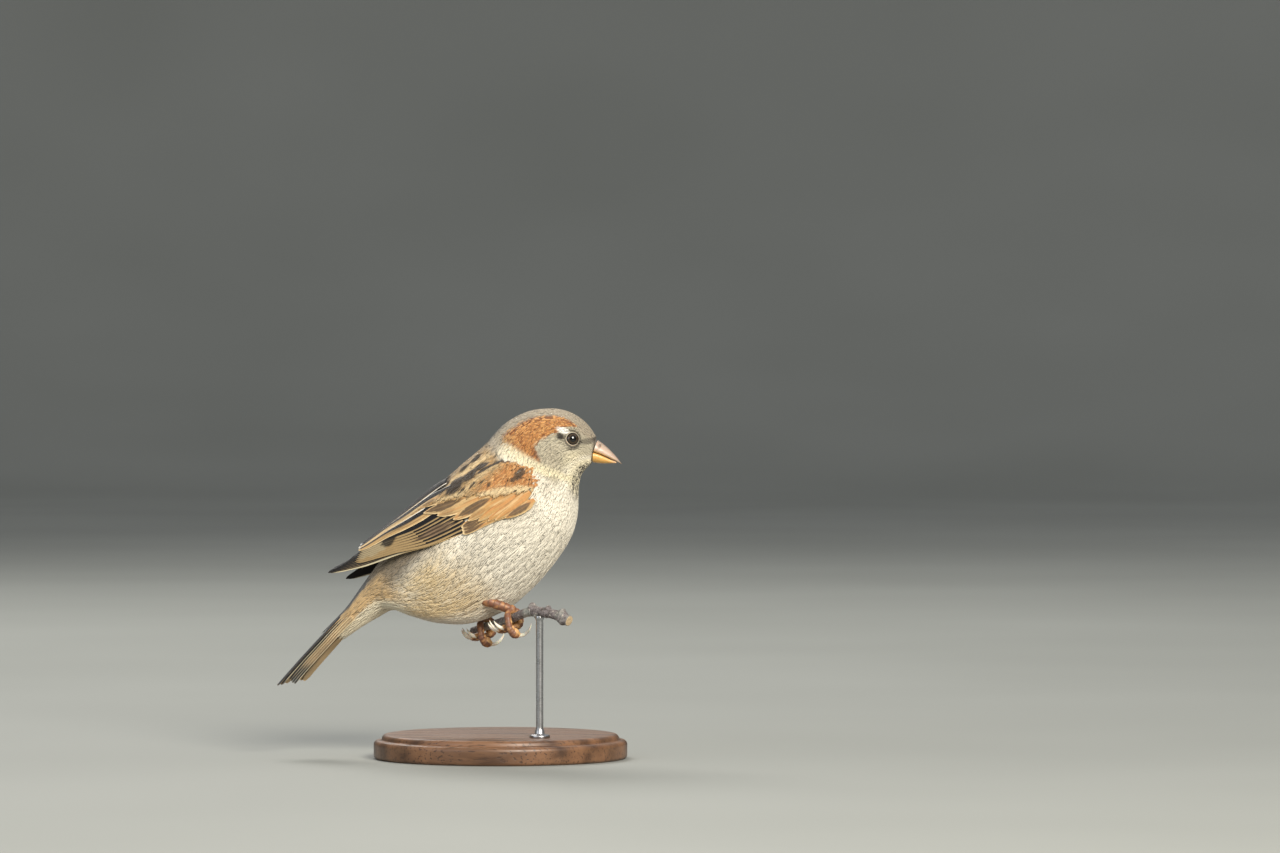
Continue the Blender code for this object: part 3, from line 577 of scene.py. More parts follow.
def plumage_colour(place, angle, ink, whim=0.5):
    """The plumage's colour at places on the body, the same for the skin and for the coat."""
    t, a = place, folded(angle)
    point = body_form(np.ravel(t), np.ravel(a)).reshape(*np.shape(t), 3)
    x, y, z = point[..., 0], point[..., 1], point[..., 2]
    fine = ripple(x, y, z, 0.42)
    rough = ripple(x, y, z, 1.1)
    slow = ripple(x, y, z, 5.0, 3.0)
    odd = 2 * whim - 1
    colour = plain(ink.breast, np.shape(t))

    # Underside: white breast, greyer at its sides, warm buff flanks, cream belly and vent.
    side = ease(6.4, 7.2, t) * ease(84, 92, a) * (1 - ease(100, 125, a)) * (1 - ease(9.0, 11.0, t))
    colour = over(colour, ink.breast_side, side * (0.7 + 0.3 * slow))
    colour = over(colour, ink.crown, 0.12 * ease(0.6, 1, odd) * (t > 6) * (1 - ease(9, 11, t)))
    flank = ease(9.0, 10.8, t) * (1 - ease(12.4, 13.4, t)) * ease(60, 80, a) * (1 - ease(125, 160, a))
    colour = over(colour, ink.flank, flank * np.clip(0.85 + 0.3 * slow + 0.25 * odd, 0, 1))
    colour = over(colour, ink.cream, 0.45 * flank * ease(0.0, 0.9, rough + 0.6 * odd))
    under = ease(12.2, 13.2, t) * ease(64, 96, a)
    colour = over(colour, ink.vent, under)
    # Upper side behind the wings: grey-brown rump, buff sides of the tail root, slate uppertail.
    rump = ease(9.2, 9.8, t) * (1 - ease(56, 80, a + 4 * slow))
    colour = over(colour, ink.rump, rump)
    coverts = ease(11.6, 12.8, t) * ease(32, 46, a + 5 * odd) * (1 - ease(82, 106, a + 6 * odd))
    colour = over(colour, ink.side_coverts, coverts)
    colour = over(colour, ink.rump, 0.45 * coverts * ease(0.2, 0.9, odd + 0.5 * rough))
    colour = over(colour, ink.slate, ease(12.4, 13.4, t) * (1 - ease(26, 44, a + 4 * odd)))

    # Long silky streaks that run with the feathers.
    silk = 0.6 * grain(0.62 * a, 0.9 * t) + 0.5 * grain(1.5 * a, 1.4 * t, 3)
    body = ease(6.0, 6.8, t)
    colour = colour * (1 + body * (0.05 + 0.09 * ease(9, 11, t)) * silk)[..., None]
    colour = over(colour, ink.cream, 0.5 * flank * ease(0.25, 0.8, silk))

    # Mantle, of a piece with the scapulars on the wings.
    mantle = ease(6.5, 6.9, t) * (1 - ease(9.3, 9.9, t)) * (1 - ease(58, 70, a))
    on_back = mantle_colour(a, x, y, z, ink, whim)
    colour = colour + (on_back - colour) * mantle[..., None]

    # Head: grey crown and cheek, with a fine pepper of darker tips.
    head = 1 - ease(5.7, 6.3, t + 0.01 * (a - 60))
    colour = over(colour, ink.cheek, head * (1 - ease(108, 128, a)))
    colour = over(colour, ink.crown, 0.5 * head * ease(0.55, 1.0, odd) * (1 - ease(108, 128, a)))
    colour = over(colour, ink.crown, 0.30 * head * bump_at(t, 4.7, 0.7) * bump_at(a, 88, 12))
    colour = over(colour, ink.collar, 0.55 * head * bump_at(t, 2.6, 1.3) * bump_at(a, 114, 14))
    nape = ease(5.9, 6.2, t) * (1 - ease(6.6, 7.0, t)) * (1 - ease(36, 50, a))
    colour = over(colour, ink.crown, nape * (0.9 + 0.1 * rough))
    upper = knots(t, (1.2, 49), (1.76, 47), (3.0, 38), (4.1, 35), (5.1, 32), (5.6, 34), (6.2, 31),
                  (6.4, 38))
    crown = (1 - ease(6.3, 6.6, t)) * (1 - ease(-2.5, 3.0, a - upper + 3 * odd)) * ease(1.0, 1.4, t)
    front = (1 - ease(1.5, 2.0, t)) * (1 - ease(52, 70, a))
    grey = np.clip(crown + front, 0, 1)
    colour = over(colour, ink.crown, grey)
    colour = over(colour, ink.cheek, 0.5 * grey * ease(0.2, 0.9, odd))
    colour = over(colour, ink.slate, 0.7 * ease(5.6, 6.2, t) * (1 - ease(6.7, 7.1, t)) * (1 - ease(8, 24, a)))

    # Chestnut band from over the eye to the side of the neck: every tuft takes its own share of rust,
    # orange-buff or black-brown, and the dark ones crowd along the crown.
    lower = knots(t, (1.7, 48), (2.3, 53), (2.9, 57), (3.3, 61), (3.6, 66), (4.7, 65.5), (5.28, 67),
                  (5.36, 78), (5.5, 88))
    rear = knots(a, (28, 6.15), (41, 6.25), (57, 6.1), (73, 5.82), (84, 5.45))
    band = ease(-3, 2.5, a - upper + 3.5 * odd) * (1 - ease(-1.5, 2.5, a - lower + 2 * odd))
    band = band * ease(-0.1, 0.1, rear - t + 0.12 * odd) * ease(1.5, 1.9, t + 0.15 * odd)
    colour = over(colour, ink.chestnut, band)
    orange = ease(0.0, 0.5, odd + 0.5 * fine) * (1 - 0.75 * ease(4.7, 5.5, t) * ease(50, 60, a))
    colour = over(colour, ink.orange, 0.85 * band * orange)
    edge = np.exp(-(((a - upper - 1.5) / 4.0) ** 2)) * ease(1.6, 2.2, t) * (1 - ease(5.9, 6.3, t))
    dark = edge * ease(0.0, 0.45, -odd - 0.5 * fine) + 0.8 * band * ease(0.6, 0.85, -odd - 0.35 * rough)
    rim = np.exp(-(((t - 5.40) / 0.10) ** 2)) * ease(64, 70, a) * (1 - ease(82, 87, a))
    colour = over(colour, ink.dark_chestnut, np.clip(0.9 * dark + 0.8 * rim, 0, 1))
    fade = ease(5.6, 6.3, t) * band
    colour = over(colour, ink.olive, 0.6 * fade * ease(-0.6, 0.4, odd))

    # Pale collar under the cheek and up behind the chestnut.
    collar_at = knots(a, (30, 6.5), (42, 6.46), (65, 6.12), (83, 5.78), (101, 5.24), (124, 4.4),
                      (150, 3.2))
    collar = np.exp(-(((t - collar_at) / 0.27) ** 4)) * ease(34, 50, a)
    colour = over(colour, ink.collar, collar * (0.75 + 0.25 * ease(45, 80, a)) * (0.9 + 0.1 * odd))
    throat = (1 - ease(4.0, 5.0, t)) * ease(116, 134, a)
    colour = over(colour, ink.collar, 0.7 * throat)
    # Black bib, veiled by pale tips.
    bib = (1 - ease(4.2, 5.4, t)) * ease(0.1, 0.4, t) * ease(140, 150, a + 6 * odd)
    colour = over(colour, ink.black, bib * ease(-0.3, 0.5, odd + 0.5 * rough))
    shadow = np.exp(-(((t - 5.95) / 0.4) ** 2) - ((a - 106) / 9) ** 2)
    colour = over(colour, ink.crown, 0.4 * shadow)

    # Face: black through the lores and behind the eye, a dark surround, and a white spot over it.
    _, around = round_eye(point, np.array((24.8, 6.8, 105.8)))
    surround = np.exp(-(((around - 2.75) / 0.45) ** 2)) * (0.55 + 0.3 * ease(0.5, -1.5, z - 106.1))
    colour = over(colour, ink.black, np.clip(surround, 0, 1))
    colour = over(colour, ink.black, 0.6 * spot(x, z, (25.7, 102.9), (1.9, 0.6), 5))
    lores = spot(x, z, (30.0, 105.2), (2.6, 1.0), 8)
    colour = over(colour, ink.black, 0.6 * lores * (a < 130))
    colour = over(colour, ink.black, 0.75 * spot(x, z, (32.4, 105.9), (1.2, 0.7), -20))
    colour = over(colour, ink.black, 0.95 * spot(x, z, (21.6, 106.9), (1.35, 1.05), -40))
    colour = over(colour, ink.white, spot(x, z, (22.6, 108.75), (2.3, 0.95), -22))
    return np.clip(colour, 0.005, 1)


def coat_colours(fans, ink, rng, paint):
    """Colours of the fans' points: the place's marking, drawn a little by each lock's own whim, with
    shaded roots and each feather's own tone."""
    whim = rng.uniform(0, 1, len(fans["feather"]))
    base = paint(fans["place"], fans["angle"], ink, whim[:, None])
    feathers = fans["feather"].max() + 1
    own = 1 + rng.normal(0, 0.015, feathers)[fans["feather"]] + 0.05 * (whim - 0.5)
    shade = 1.04 - 0.04 * ease(0.15, 0.7, fans["share"])
    base = base * (shade * own[:, None])[..., None]
    return lock_rings_colour(base)


def lock_rings_colour(colours):
    return np.stack([lock_rings(colours[..., k]) for k in range(3)], axis=-1)


def coat_piece(name, fans, chosen, colours, material):
    """One piece of coat from the chosen locks. Its OFBake map gives each lock a small patch at its
    root's place on the skin's unwrap."""
    fans = {key: value[chosen] for key, value in fans.items()}
    count = len(fans["points"])
    stride = 3 * LOCK_RINGS + 1
    quads, triangles = lock_template()
    faces = [repeated(quads, stride, count), repeated(triangles, stride, count)]
    root = skin_map(fans["root_place"], fans["root_angle"])[:, None, :]
    patch = 0.003
    u = lock_rings(fans["share"]) * patch
    v = np.broadcast_to(np.append(np.tile((0.0, 0.5, 1.0), LOCK_RINGS), 0.5) * patch, u.shape)
    uv = root + np.stack((u, v), axis=-1)
    # A lock's underside is flat, so that its upper faces keep their own soft shading.
    top = np.concatenate((np.tile(np.arange(len(quads)) % 3 != 2, count),
                          np.tile(np.arange(len(triangles)) < 2, count)))
    piece = make_piece(name, fans["points"], faces, material, (), colours[chosen], uv, top)
    # Where each point lies in its lock, in mm across and along, for the strands within it.
    half = lock_rings(fans["width"]) / 2
    across = half * np.append(np.tile((-1.0, 0.0, 1.0), LOCK_RINGS), 0.0) + 3.1 * np.arange(count)[:, None]
    lay = np.stack((across, lock_rings(fans["along"]), np.zeros_like(across)), axis=-1)
    give_vectors(piece, "Strands", lay)


def slide(form, place, angle, steps):
    """New places and angles after moving from each place by (mm along the lie, mm down the right side),
    by the metric of the form there."""
    _, normal, t, a = frames_on(form, place, angle)
    forward = unit(t)
    sideways = np.cross(normal, forward)
    tt, ta, aa = dot(t, t), dot(t, a), dot(a, a)
    det = tt * aa - ta * ta
    move = forward * steps[..., :1] + sideways * steps[..., 1:]
    dt, da = dot(move, t), dot(move, a)
    return place + (aa * dt - ta * da) / det, angle + (tt * da - ta * dt) / det


# ---- Vanes --------------------------------------------------------------------------------------

VANE_THICKNESS = 0.16  # mm along the shaft of a wing's blade
EDGE_CROWDING = 1.35  # power that draws a blade's columns towards its edges


def shell_rings(top, normal, thickness):
    """Closed rings round a thin blade: its upper face from edge to edge and its lower face back again."""
    half = normal * thickness[..., None] / 2
    return np.concatenate((top + half, (top - half)[:, ::-1]), axis=1)


def spread_columns(columns):
    """Places from -1 to 1 across a vane, closer together towards its edges."""
    even = np.linspace(-1, 1, columns)
    return np.sign(even) * (1 - (1 - np.abs(even)) ** EDGE_CROWDING)


class Vanes:
    """Gathers closed blades that become one mesh: each is a grid of rows along by columns across."""

    def __init__(self, rows, columns):
        self.rows = rows
        self.columns = columns
        self.points, self.colours, self.barbs = [], [], []

    def add(self, top, normal, thickness, colours, along_mm, across_mm, under=None):
        """One blade. Its lower face is as its upper one but darker, unless under gives its colours."""
        self.points.append(shell_rings(top, normal, thickness))
        under = colours * 0.8 if under is None else under
        lay = np.stack((across_mm, along_mm, np.zeros_like(along_mm)), axis=-1)
        self.colours.append(np.concatenate((colours, under[:, ::-1]), axis=1))
        self.barbs.append(np.concatenate((lay, lay[:, ::-1]), axis=1))

    def finish(self, name, material, slot, replaced=()):
        """The mesh, with a strip of its OFBake map for each blade."""
        count, ring = len(self.points), 2 * self.columns
        stride = ring * self.rows
        faces = [repeated(f, stride, count) for f in tube_faces(self.rows, ring, inside_out=True)]
        across = np.concatenate((np.linspace(0, 0.48, self.columns), np.linspace(0.5, 0.98, self.columns)))
        u = (np.arange(count)[:, None, None] + 0.01 + across[None, None, :]) / count
        v = np.linspace(0.01, 0.99, self.rows)[None, :, None]
        uv = np.stack(np.broadcast_arrays(u, v), axis=-1)
        colours = np.array(self.colours)
        piece = make_piece(name, np.array(self.points), faces, material, replaced, colours, uv)
        give_vectors(piece, "Barbs", self.barbs)


def towards_tip(rows, start=0.0):
    """Places from start to 1 along a blade, closer together towards its tip."""
    return 1 - (1 - start) * (1 - np.linspace(0, 1, rows)) ** 1.7


def blade_outline(s, round_from, pointed):
    """Width of a blade along its length, 0..1: swelling from the root, then rounded off to the tip by
    (1 - q^2)^pointed past the place round_from."""
    q = np.clip((s - round_from) / (1.002 - round_from), 0, 1)
    return (0.45 + 0.55 * ease(0, 0.3, s)) * (1 - q**2) ** pointed


def wing_vane(vanes, side, line, low_width, high_width, heights, paint, rng, round_from=0.75, pointed=0.5,
              crown=0.12, ragged=0.02):
    """One blade on the bed of a wing. Its shaft follows a quadratic curve through the three (place, angle)
    points of line, and its lower and upper webs lie low_width and high_width mm to either side. It stands
    heights[0]..heights[1] mm over the bed, arched by crown mm across. side is 1 right, -1 left."""
    s = towards_tip(vanes.rows)
    (p0, a0), (p1, a1), (p2, a2) = line

    def bend(a, b, c):
        return (1 - s) ** 2 * a + 2 * s * (1 - s) * (2 * b - (a + c) / 2) + s**2 * c

    place, angle = bend(p0, p1, p2), bend(a0, a1, a2) * side
    u = spread_columns(vanes.columns)
    outline = blade_outline(s, round_from, pointed)[:, None]
    width = np.where(u > 0, low_width, high_width)[None, :] * outline
    width = width * (1 + rng.normal(0, ragged, (vanes.rows, vanes.columns)) * (np.abs(u) > 0.98))
    across = u[None, :] * width
    point = wing_form(place, angle)
    length = np.concatenate(([0], np.cumsum(np.linalg.norm(np.diff(point, axis=0), axis=1))))
    # The blade's rows stand square to its shaft, so the step across is turned by the shaft's own lie.
    _, normal, t, _ = frames_on(wing_form, place, angle)
    forward = unit(t)
    sideways = np.cross(normal, forward)
    heading = unit(np.gradient(point, axis=0))
    c, d = dot(heading, forward)[:, None], dot(heading, sideways)[:, None]
    grid = np.ones((vanes.rows, vanes.columns))
    steps = np.stack((-d * across * side, c * across * side), axis=-1).reshape(-1, 2)
    roots = (place[:, None] * grid).ravel(), (angle[:, None] * grid).ravel()
    places, angles = slide(wing_form, *roots, steps)
    angles = np.where(side > 0, np.maximum(angles, 1.0), np.minimum(angles, -1.0))
    base, normal, _, _ = frames_on(wing_form, places, angles)
    height = knots(s, (0, heights[0]), (1, heights[1]))[:, None] - crown * u[None, :] ** 2
    shaft = 0.05 * np.exp(-((u / 0.05) ** 2))[None, :] * (1 - s)[:, None]
    top = base.reshape(vanes.rows, vanes.columns, 3)
    normal = normal.reshape(vanes.rows, vanes.columns, 3)
    top = top + normal * (height + shaft)[..., None]
    thick = VANE_THICKNESS * (1 - 0.8 * np.abs(u) ** 3)[None, :] * grid
    colours = paint(s[:, None] * grid, u[None, :] * grid, top)
    vanes.add(top, normal, thick, colours, length[:, None] * grid, across)


# ---- Node groups and materials ------------------------------------------------------------------


def new_node(tree, kind, *inputs, **named):
    """A shader node whose inputs are set or linked, by place or by name: an underscore stands for a space."""
    node = tree.nodes.new("ShaderNode" + kind)
    for socket, value in zip(node.inputs, inputs):
        connect(tree, value, socket)
    return feed(tree, node, **named)


def connect(tree, value, socket):
    """Links a socket to another socket's value, or sets it to a plain one."""
    if isinstance(value, bpy.types.NodeSocket):
        tree.links.new(value, socket)
    elif value is not None:
        socket.default_value = value


def feed(tree, node, **named):
    for key, value in named.items():
        connect(tree, value, node.inputs[key.replace("_", " ")])
    return node


def object_coordinates(tree, scale=(1, 1, 1), turn=(0, 0, 0), shift=(0, 0, 0)):
    place = new_node(tree, "TexCoord").outputs["Object"]
    return new_node(tree, "Mapping", place, shift, turn, scale).outputs[0]


def noise(tree, vector, scale, detail=3.0, roughness=0.55):
    node = new_node(tree, "TexNoise", Vector=vector, Scale=scale, Detail=detail, Roughness=roughness)
    return node.outputs["Fac"]


def spread(tree, value, low, high, out_low=0.0, out_high=1.0):
    return new_node(tree, "MapRange", value, low, high, out_low, out_high).outputs[0]


def reckon(tree, operation, a, b=None):
    node = new_node(tree, "Math", a, b)
    node.operation = operation
    return node.outputs[0]


def blend_colours(tree, share, a, b):
    node = new_node(tree, "Mix", share)
    node.data_type = "RGBA"
    for index, value in ((6, a), (7, b)):
        value = value if isinstance(value, bpy.types.NodeSocket) else (*value, 1.0)
        connect(tree, value, node.inputs[index])
    return node.outputs[2]


def scaled_colour(tree, colour, factor):
    node = new_node(tree, "VectorMath", colour)
    node.operation = "SCALE"
    return feed(tree, node, Scale=factor).outputs["Vector"]


def bumped(tree, height, strength, distance, normal=None):
    node = new_node(tree, "Bump", Height=height, Strength=strength, Distance=distance, Normal=normal)
    return node.outputs["Normal"]


def attribute(tree, name, kind):
    node = new_node(tree, "Attribute")
    node.attribute_name = name
    return node.outputs[kind]


def marking(tree):
    return attribute(tree, "Marking", "Color")


def parts_of(tree, vector):
    return new_node(tree, "SeparateXYZ", vector).outputs


def group_node(tree, group, **inputs):
    node = new_node(tree, "Group")
    node.node_tree = group
    return feed(tree, node, **inputs).outputs


def new_group(name, inputs, outputs):
    """An empty shader group with its named sockets: inputs as (name, kind, default), and outputs as
    (name, kind)."""
    group = bpy.data.node_groups.new(name, "ShaderNodeTree")
    for label, kind, default in inputs:
        socket = group.interface.new_socket(label, in_out="INPUT", socket_type="NodeSocket" + kind)
        socket.default_value = default
    for label, kind in outputs:
        group.interface.new_socket(label, in_out="OUTPUT", socket_type="NodeSocket" + kind)
    return group, group.nodes.new("NodeGroupInput").outputs, group.nodes.new("NodeGroupOutput")


def uneven_tone_group():
    """Colour made unevenly lighter and darker by two sizes of soft noise."""
    group, given, out = new_group(
        "Uneven tone",
        (("Color", "Color", (0.5, 0.5, 0.5, 1)), ("Scale", "Float", 900.0), ("Amount", "Float", 0.1)),
        (("Color", "Color"),),
    )
    vector = object_coordinates(group)
    fine, broad = noise(group, vector, given["Scale"], 4.0, 0.6), noise(group, vector, 130.0, 2.0)
    both = reckon(group, "ADD", fine, broad)
    swing = reckon(group, "MULTIPLY", reckon(group, "SUBTRACT", both, 1.0), given["Amount"])
    tone = reckon(group, "ADD", reckon(group, "MULTIPLY", swing, 2.0), 1.0)
    feed(group, out, Color=scaled_colour(group, given["Color"], tone))
    return group


def fine_relief_group():
    """A normal roughened by soft noise of one size."""
    group, given, out = new_group(
        "Fine relief",
        (("Scale", "Float", 2000.0), ("Strength", "Float", 0.3), ("Depth", "Float", 0.0001)),
        (("Height", "Float"), ("Normal", "Vector")),
    )
    height = noise(group, object_coordinates(group), given["Scale"], 5.0, 0.62)
    feed(group, out, Height=height, Normal=bumped(group, height, given["Strength"], given["Depth"]))
    return group


def barb_group():
    """Barbs that slope back from the shaft to both edges of a vane: lines of equal
    along - |across| * slope, unsteadied by noise. Puts out a 0..1 line value, and where the vane splits."""
    group, given, out = new_group(
        "Barbs",
        (("Spacing", "Float", 0.35), ("Slope", "Float", 1.1), ("Unrest", "Float", 0.5)),
        (("Lines", "Float"), ("Splits", "Float")),
    )
    lay = attribute(group, "Barbs", "Vector")
    across, along, _ = parts_of(group, lay)
    away = reckon(group, "MULTIPLY", reckon(group, "ABSOLUTE", across), given["Slope"])
    unrest = reckon(group, "MULTIPLY", noise(group, lay, 0.9, 2.0), given["Unrest"])
    run = reckon(group, "ADD", reckon(group, "SUBTRACT", along, away), unrest)
    phase = reckon(group, "DIVIDE", run, given["Spacing"])
    wave = reckon(group, "SINE", reckon(group, "MULTIPLY", phase, 2 * math.pi))
    drawn = new_node(group, "CombineXYZ", reckon(group, "MULTIPLY", phase, 0.45),
                     reckon(group, "MULTIPLY", across, 0.25))
    broken = noise(group, drawn.outputs[0], 1.0, 3.0, 0.6)
    feed(group, out, Lines=spread(group, wave, -1, 1), Splits=spread(group, broken, 0.32, 0.68))
    return group


def strand_group():
    """Fine strands that run along each lock: noise drawn out 12 times along it. Puts out a 0..1 value."""
    group, given, out = new_group("Strands", (("Spacing", "Float", 0.1),), (("Strands", "Float"),))
    across, along, _ = parts_of(group, attribute(group, "Strands", "Vector"))
    along = reckon(group, "DIVIDE", reckon(group, "DIVIDE", along, given["Spacing"]), 12.0)
    drawn = new_node(group, "CombineXYZ", reckon(group, "DIVIDE", across, given["Spacing"]), along)
    feed(group, out, Strands=spread(group, noise(group, drawn.outputs[0], 0.8, 2.0, 0.5), 0.3, 0.7))
    return group


def new_material(name, **constants):
    """A material with one Principled shader, whose plain numbers are set on its own sockets."""
    material = bpy.data.materials.new(name)
    material.use_nodes = True
    tree = material.node_tree
    return material, tree, feed(tree, tree.nodes["Principled BSDF"], **constants)


def down_material(groups):
    """Soft body plumage: the markings drawn out in fine strands, matt with a faint velvet sheen."""
    material, tree, shader = new_material("Body plumage", Sheen_Weight=0.10, Sheen_Roughness=0.5,
                                          Specular_IOR_Level=0.2)
    strands = group_node(tree, groups["strands"], Spacing=0.12)["Strands"]
    drawn = scaled_colour(tree, marking(tree), spread(tree, strands, 0, 1, 0.80, 1.12))
    tone = group_node(tree, groups["tone"], Color=drawn, Scale=1900.0, Amount=0.035)
    feed(tree, shader, Base_Color=tone["Color"], Normal=bumped(tree, strands, 0.3, 0.00003),
         Roughness=spread(tree, strands, 0, 1, 0.85, 0.66))
    return material


def vane_material(groups, name, spacing, contrast, slope):
    """Flight feathers and coverts: the markings crossed by fine sloping barbs, with a silky shine."""
    material, tree, shader = new_material(name, Sheen_Weight=0.03, Specular_IOR_Level=0.16)
    barbs = group_node(tree, groups["barbs"], Spacing=spacing, Slope=slope, Unrest=0.35)
    lines = spread(tree, barbs["Lines"], 0, 1, 1 - contrast, 1 + contrast * 0.5)
    splits = spread(tree, barbs["Splits"], 0, 1, 1 - contrast, 1 + contrast)
    drawn = scaled_colour(tree, marking(tree), reckon(tree, "MULTIPLY", lines, splits))
    tone = group_node(tree, groups["tone"], Color=drawn, Scale=1100.0, Amount=0.08)
    height = reckon(tree, "ADD", barbs["Lines"], barbs["Splits"])
    feed(tree, shader, Base_Color=tone["Color"], Normal=bumped(tree, height, 0.3, 0.00003),
         Roughness=spread(tree, barbs["Splits"], 0, 1, 0.62, 0.48))
    return material


def horn_material(groups):
    """Bill and claws: painted horn with long faint streaks, a soft gloss and light under its surface."""
    material, tree, shader = new_material("Bill horn", Coat_Weight=0.25, Coat_Roughness=0.3,
                                          Subsurface_Weight=0.12, Subsurface_Scale=0.0012)
    vector = object_coordinates(tree, scale=(900, 2600, 2600), turn=(0, 0.6, 0))
    streaks = spread(tree, noise(tree, vector, 1.0, 5.0, 0.6), 0.3, 0.7, 0.86, 1.1)
    drawn = scaled_colour(tree, marking(tree), streaks)
    tone = group_node(tree, groups["tone"], Color=drawn, Scale=500.0, Amount=0.1)
    relief = group_node(tree, groups["relief"], Scale=1300.0, Strength=0.3, Depth=0.00006)
    feed(tree, shader, Base_Color=tone["Color"], Normal=relief["Normal"],
         Roughness=spread(tree, streaks, 0.86, 1.1, 0.48, 0.34))
    return material


def scute_material(groups):
    """Legs and lids: painted scales with a waxy, slightly dusty skin."""
    material, tree, shader = new_material("Leg scales", Coat_Weight=0.12, Coat_Roughness=0.4,
                                          Subsurface_Weight=0.08, Subsurface_Scale=0.0008)
    tone = group_node(tree, groups["tone"], Color=marking(tree), Scale=1800.0, Amount=0.2)
    relief = group_node(tree, groups["relief"], Scale=3200.0, Strength=0.4, Depth=0.00008)
    feed(tree, shader, Base_Color=tone["Color"], Normal=relief["Normal"],
         Roughness=spread(tree, relief["Height"], 0.3, 0.7, 0.42, 0.62))
    return material


def eye_material(eye, radius, ink):
    """A wet eye: a black pupil in a dark brown iris with fine rays, which darkens to its rim. Both are
    drawn by the distance from the eye's axis, sqrt(radius^2 - along^2)."""
    material, tree, shader = new_material("Eye", Roughness=0.03, Coat_Weight=0.0)
    x, y, z = parts_of(tree, object_coordinates(tree, shift=(-eye[0] * MM, 0.0, -eye[2] * MM)))
    ax, ay, az = (float(v) for v in unit(EYE_AXIS))
    along = reckon(tree, "ADD", reckon(tree, "MULTIPLY", x, ax), reckon(tree, "MULTIPLY", z, az))
    aside = reckon(tree, "MULTIPLY", reckon(tree, "ABSOLUTE", y), ay)
    outwards = reckon(tree, "SUBTRACT", aside, float(ay * eye[1] * MM))
    along = reckon(tree, "MULTIPLY", reckon(tree, "ADD", along, outwards), 1 / MM)
    squares = reckon(tree, "SUBTRACT", radius**2, reckon(tree, "MULTIPLY", along, along))
    away = reckon(tree, "SQRT", reckon(tree, "MAXIMUM", squares, 0.0))
    round_ = reckon(tree, "MULTIPLY", reckon(tree, "ARCTAN2", z, x), 3.0)
    turn = new_node(tree, "CombineXYZ", round_, reckon(tree, "MULTIPLY", away, 0.6))
    rays = spread(tree, noise(tree, turn.outputs[0], 2.2, 3.0, 0.5), 0.3, 0.7)
    iris = blend_colours(tree, rays, tuple(ink.iris), tuple(ink.iris_light))
    rim = blend_colours(tree, spread(tree, away, 1.55, 1.95), iris, tuple(ink.pupil))
    pupil = blend_colours(tree, spread(tree, away, 1.20, 1.06), rim, tuple(ink.pupil))
    feed(tree, shader, Base_Color=pupil)
    return material


def bark_material(groups, ink):
    """Young bark: grey-violet skin with pale lenticels, length-wise cracks, green-grey dust and wood
    at the cut ends, which the marking's red channel shows."""
    material, tree, shader = new_material("Twig bark")
    here = object_coordinates(tree)
    vector = object_coordinates(tree, scale=(700, 1500, 1500), turn=(0, 0, -0.96))
    cracks = spread(tree, noise(tree, vector, 1.0, 6.0, 0.65), 0.35, 0.62)
    bark = blend_colours(tree, cracks, tuple(ink.bark_dark), tuple(ink.bark))
    broad = reckon(tree, "MULTIPLY", spread(tree, noise(tree, here, 160.0, 3.0), 0.45, 0.62), 0.65)
    dusty = blend_colours(tree, broad, bark, tuple(ink.bark_dust))
    spots = new_node(tree, "TexVoronoi", Vector=here, Scale=650.0)
    lenticels = spread(tree, spots.outputs["Distance"], 0.26, 0.14)
    pale = blend_colours(tree, reckon(tree, "MULTIPLY", lenticels, 0.7), dusty, tuple(ink.bark_spot))
    ends = new_node(tree, "SeparateColor", marking(tree)).outputs[0]
    rings = spread(tree, noise(tree, here, 2400.0, 4.0), 0.35, 0.65)
    wood = blend_colours(tree, rings, (0.42, 0.3, 0.17), (0.6, 0.47, 0.3))
    relief = group_node(tree, groups["relief"], Scale=1500.0, Strength=0.6, Depth=0.0002)
    height = reckon(tree, "ADD", cracks, reckon(tree, "MULTIPLY", lenticels, 0.6))
    feed(tree, shader, Base_Color=blend_colours(tree, ends, pale, wood),
         Normal=bumped(tree, height, 0.6, 0.00018, relief["Normal"]),
         Roughness=spread(tree, cracks, 0, 1, 0.88, 0.62))
    return material


def walnut_material(groups, ink):
    """Oiled walnut: long dark grain in slow bands, fine pores and a satin finish."""
    material, tree, shader = new_material("Oiled walnut", Coat_Weight=0.12, Coat_Roughness=0.35)
    vector = object_coordinates(tree, scale=(26, 190, 190), turn=(0.2, 0.08, 0.12))
    bands = new_node(tree, "TexWave", Vector=vector, Scale=0.16, Distortion=7.0, Detail=4.0, Detail_Scale=0.7)
    bands.bands_direction = "Y"
    grain = blend_colours(tree, bands.outputs["Fac"], tuple(ink.walnut_dark), tuple(ink.walnut))
    streaks = spread(tree, noise(tree, vector, 1.0, 6.0, 0.6), 0.35, 0.65, 0.0, 0.55)
    toned = blend_colours(tree, streaks, grain, tuple(ink.walnut_light))
    pores_at = object_coordinates(tree, scale=(160, 2400, 1200), turn=(0, 0.08, 0.12))
    pores = spread(tree, noise(tree, pores_at, 1.0, 2.0), 0.36, 0.42)
    relief = group_node(tree, groups["relief"], Scale=260.0, Strength=0.1, Depth=0.0001)
    feed(tree, shader, Base_Color=blend_colours(tree, pores, tuple(ink.walnut_dark), toned),
         Normal=bumped(tree, pores, 0.3, 0.0001),
         Roughness=spread(tree, relief["Height"], 0.3, 0.7, 0.34, 0.5))
    return material


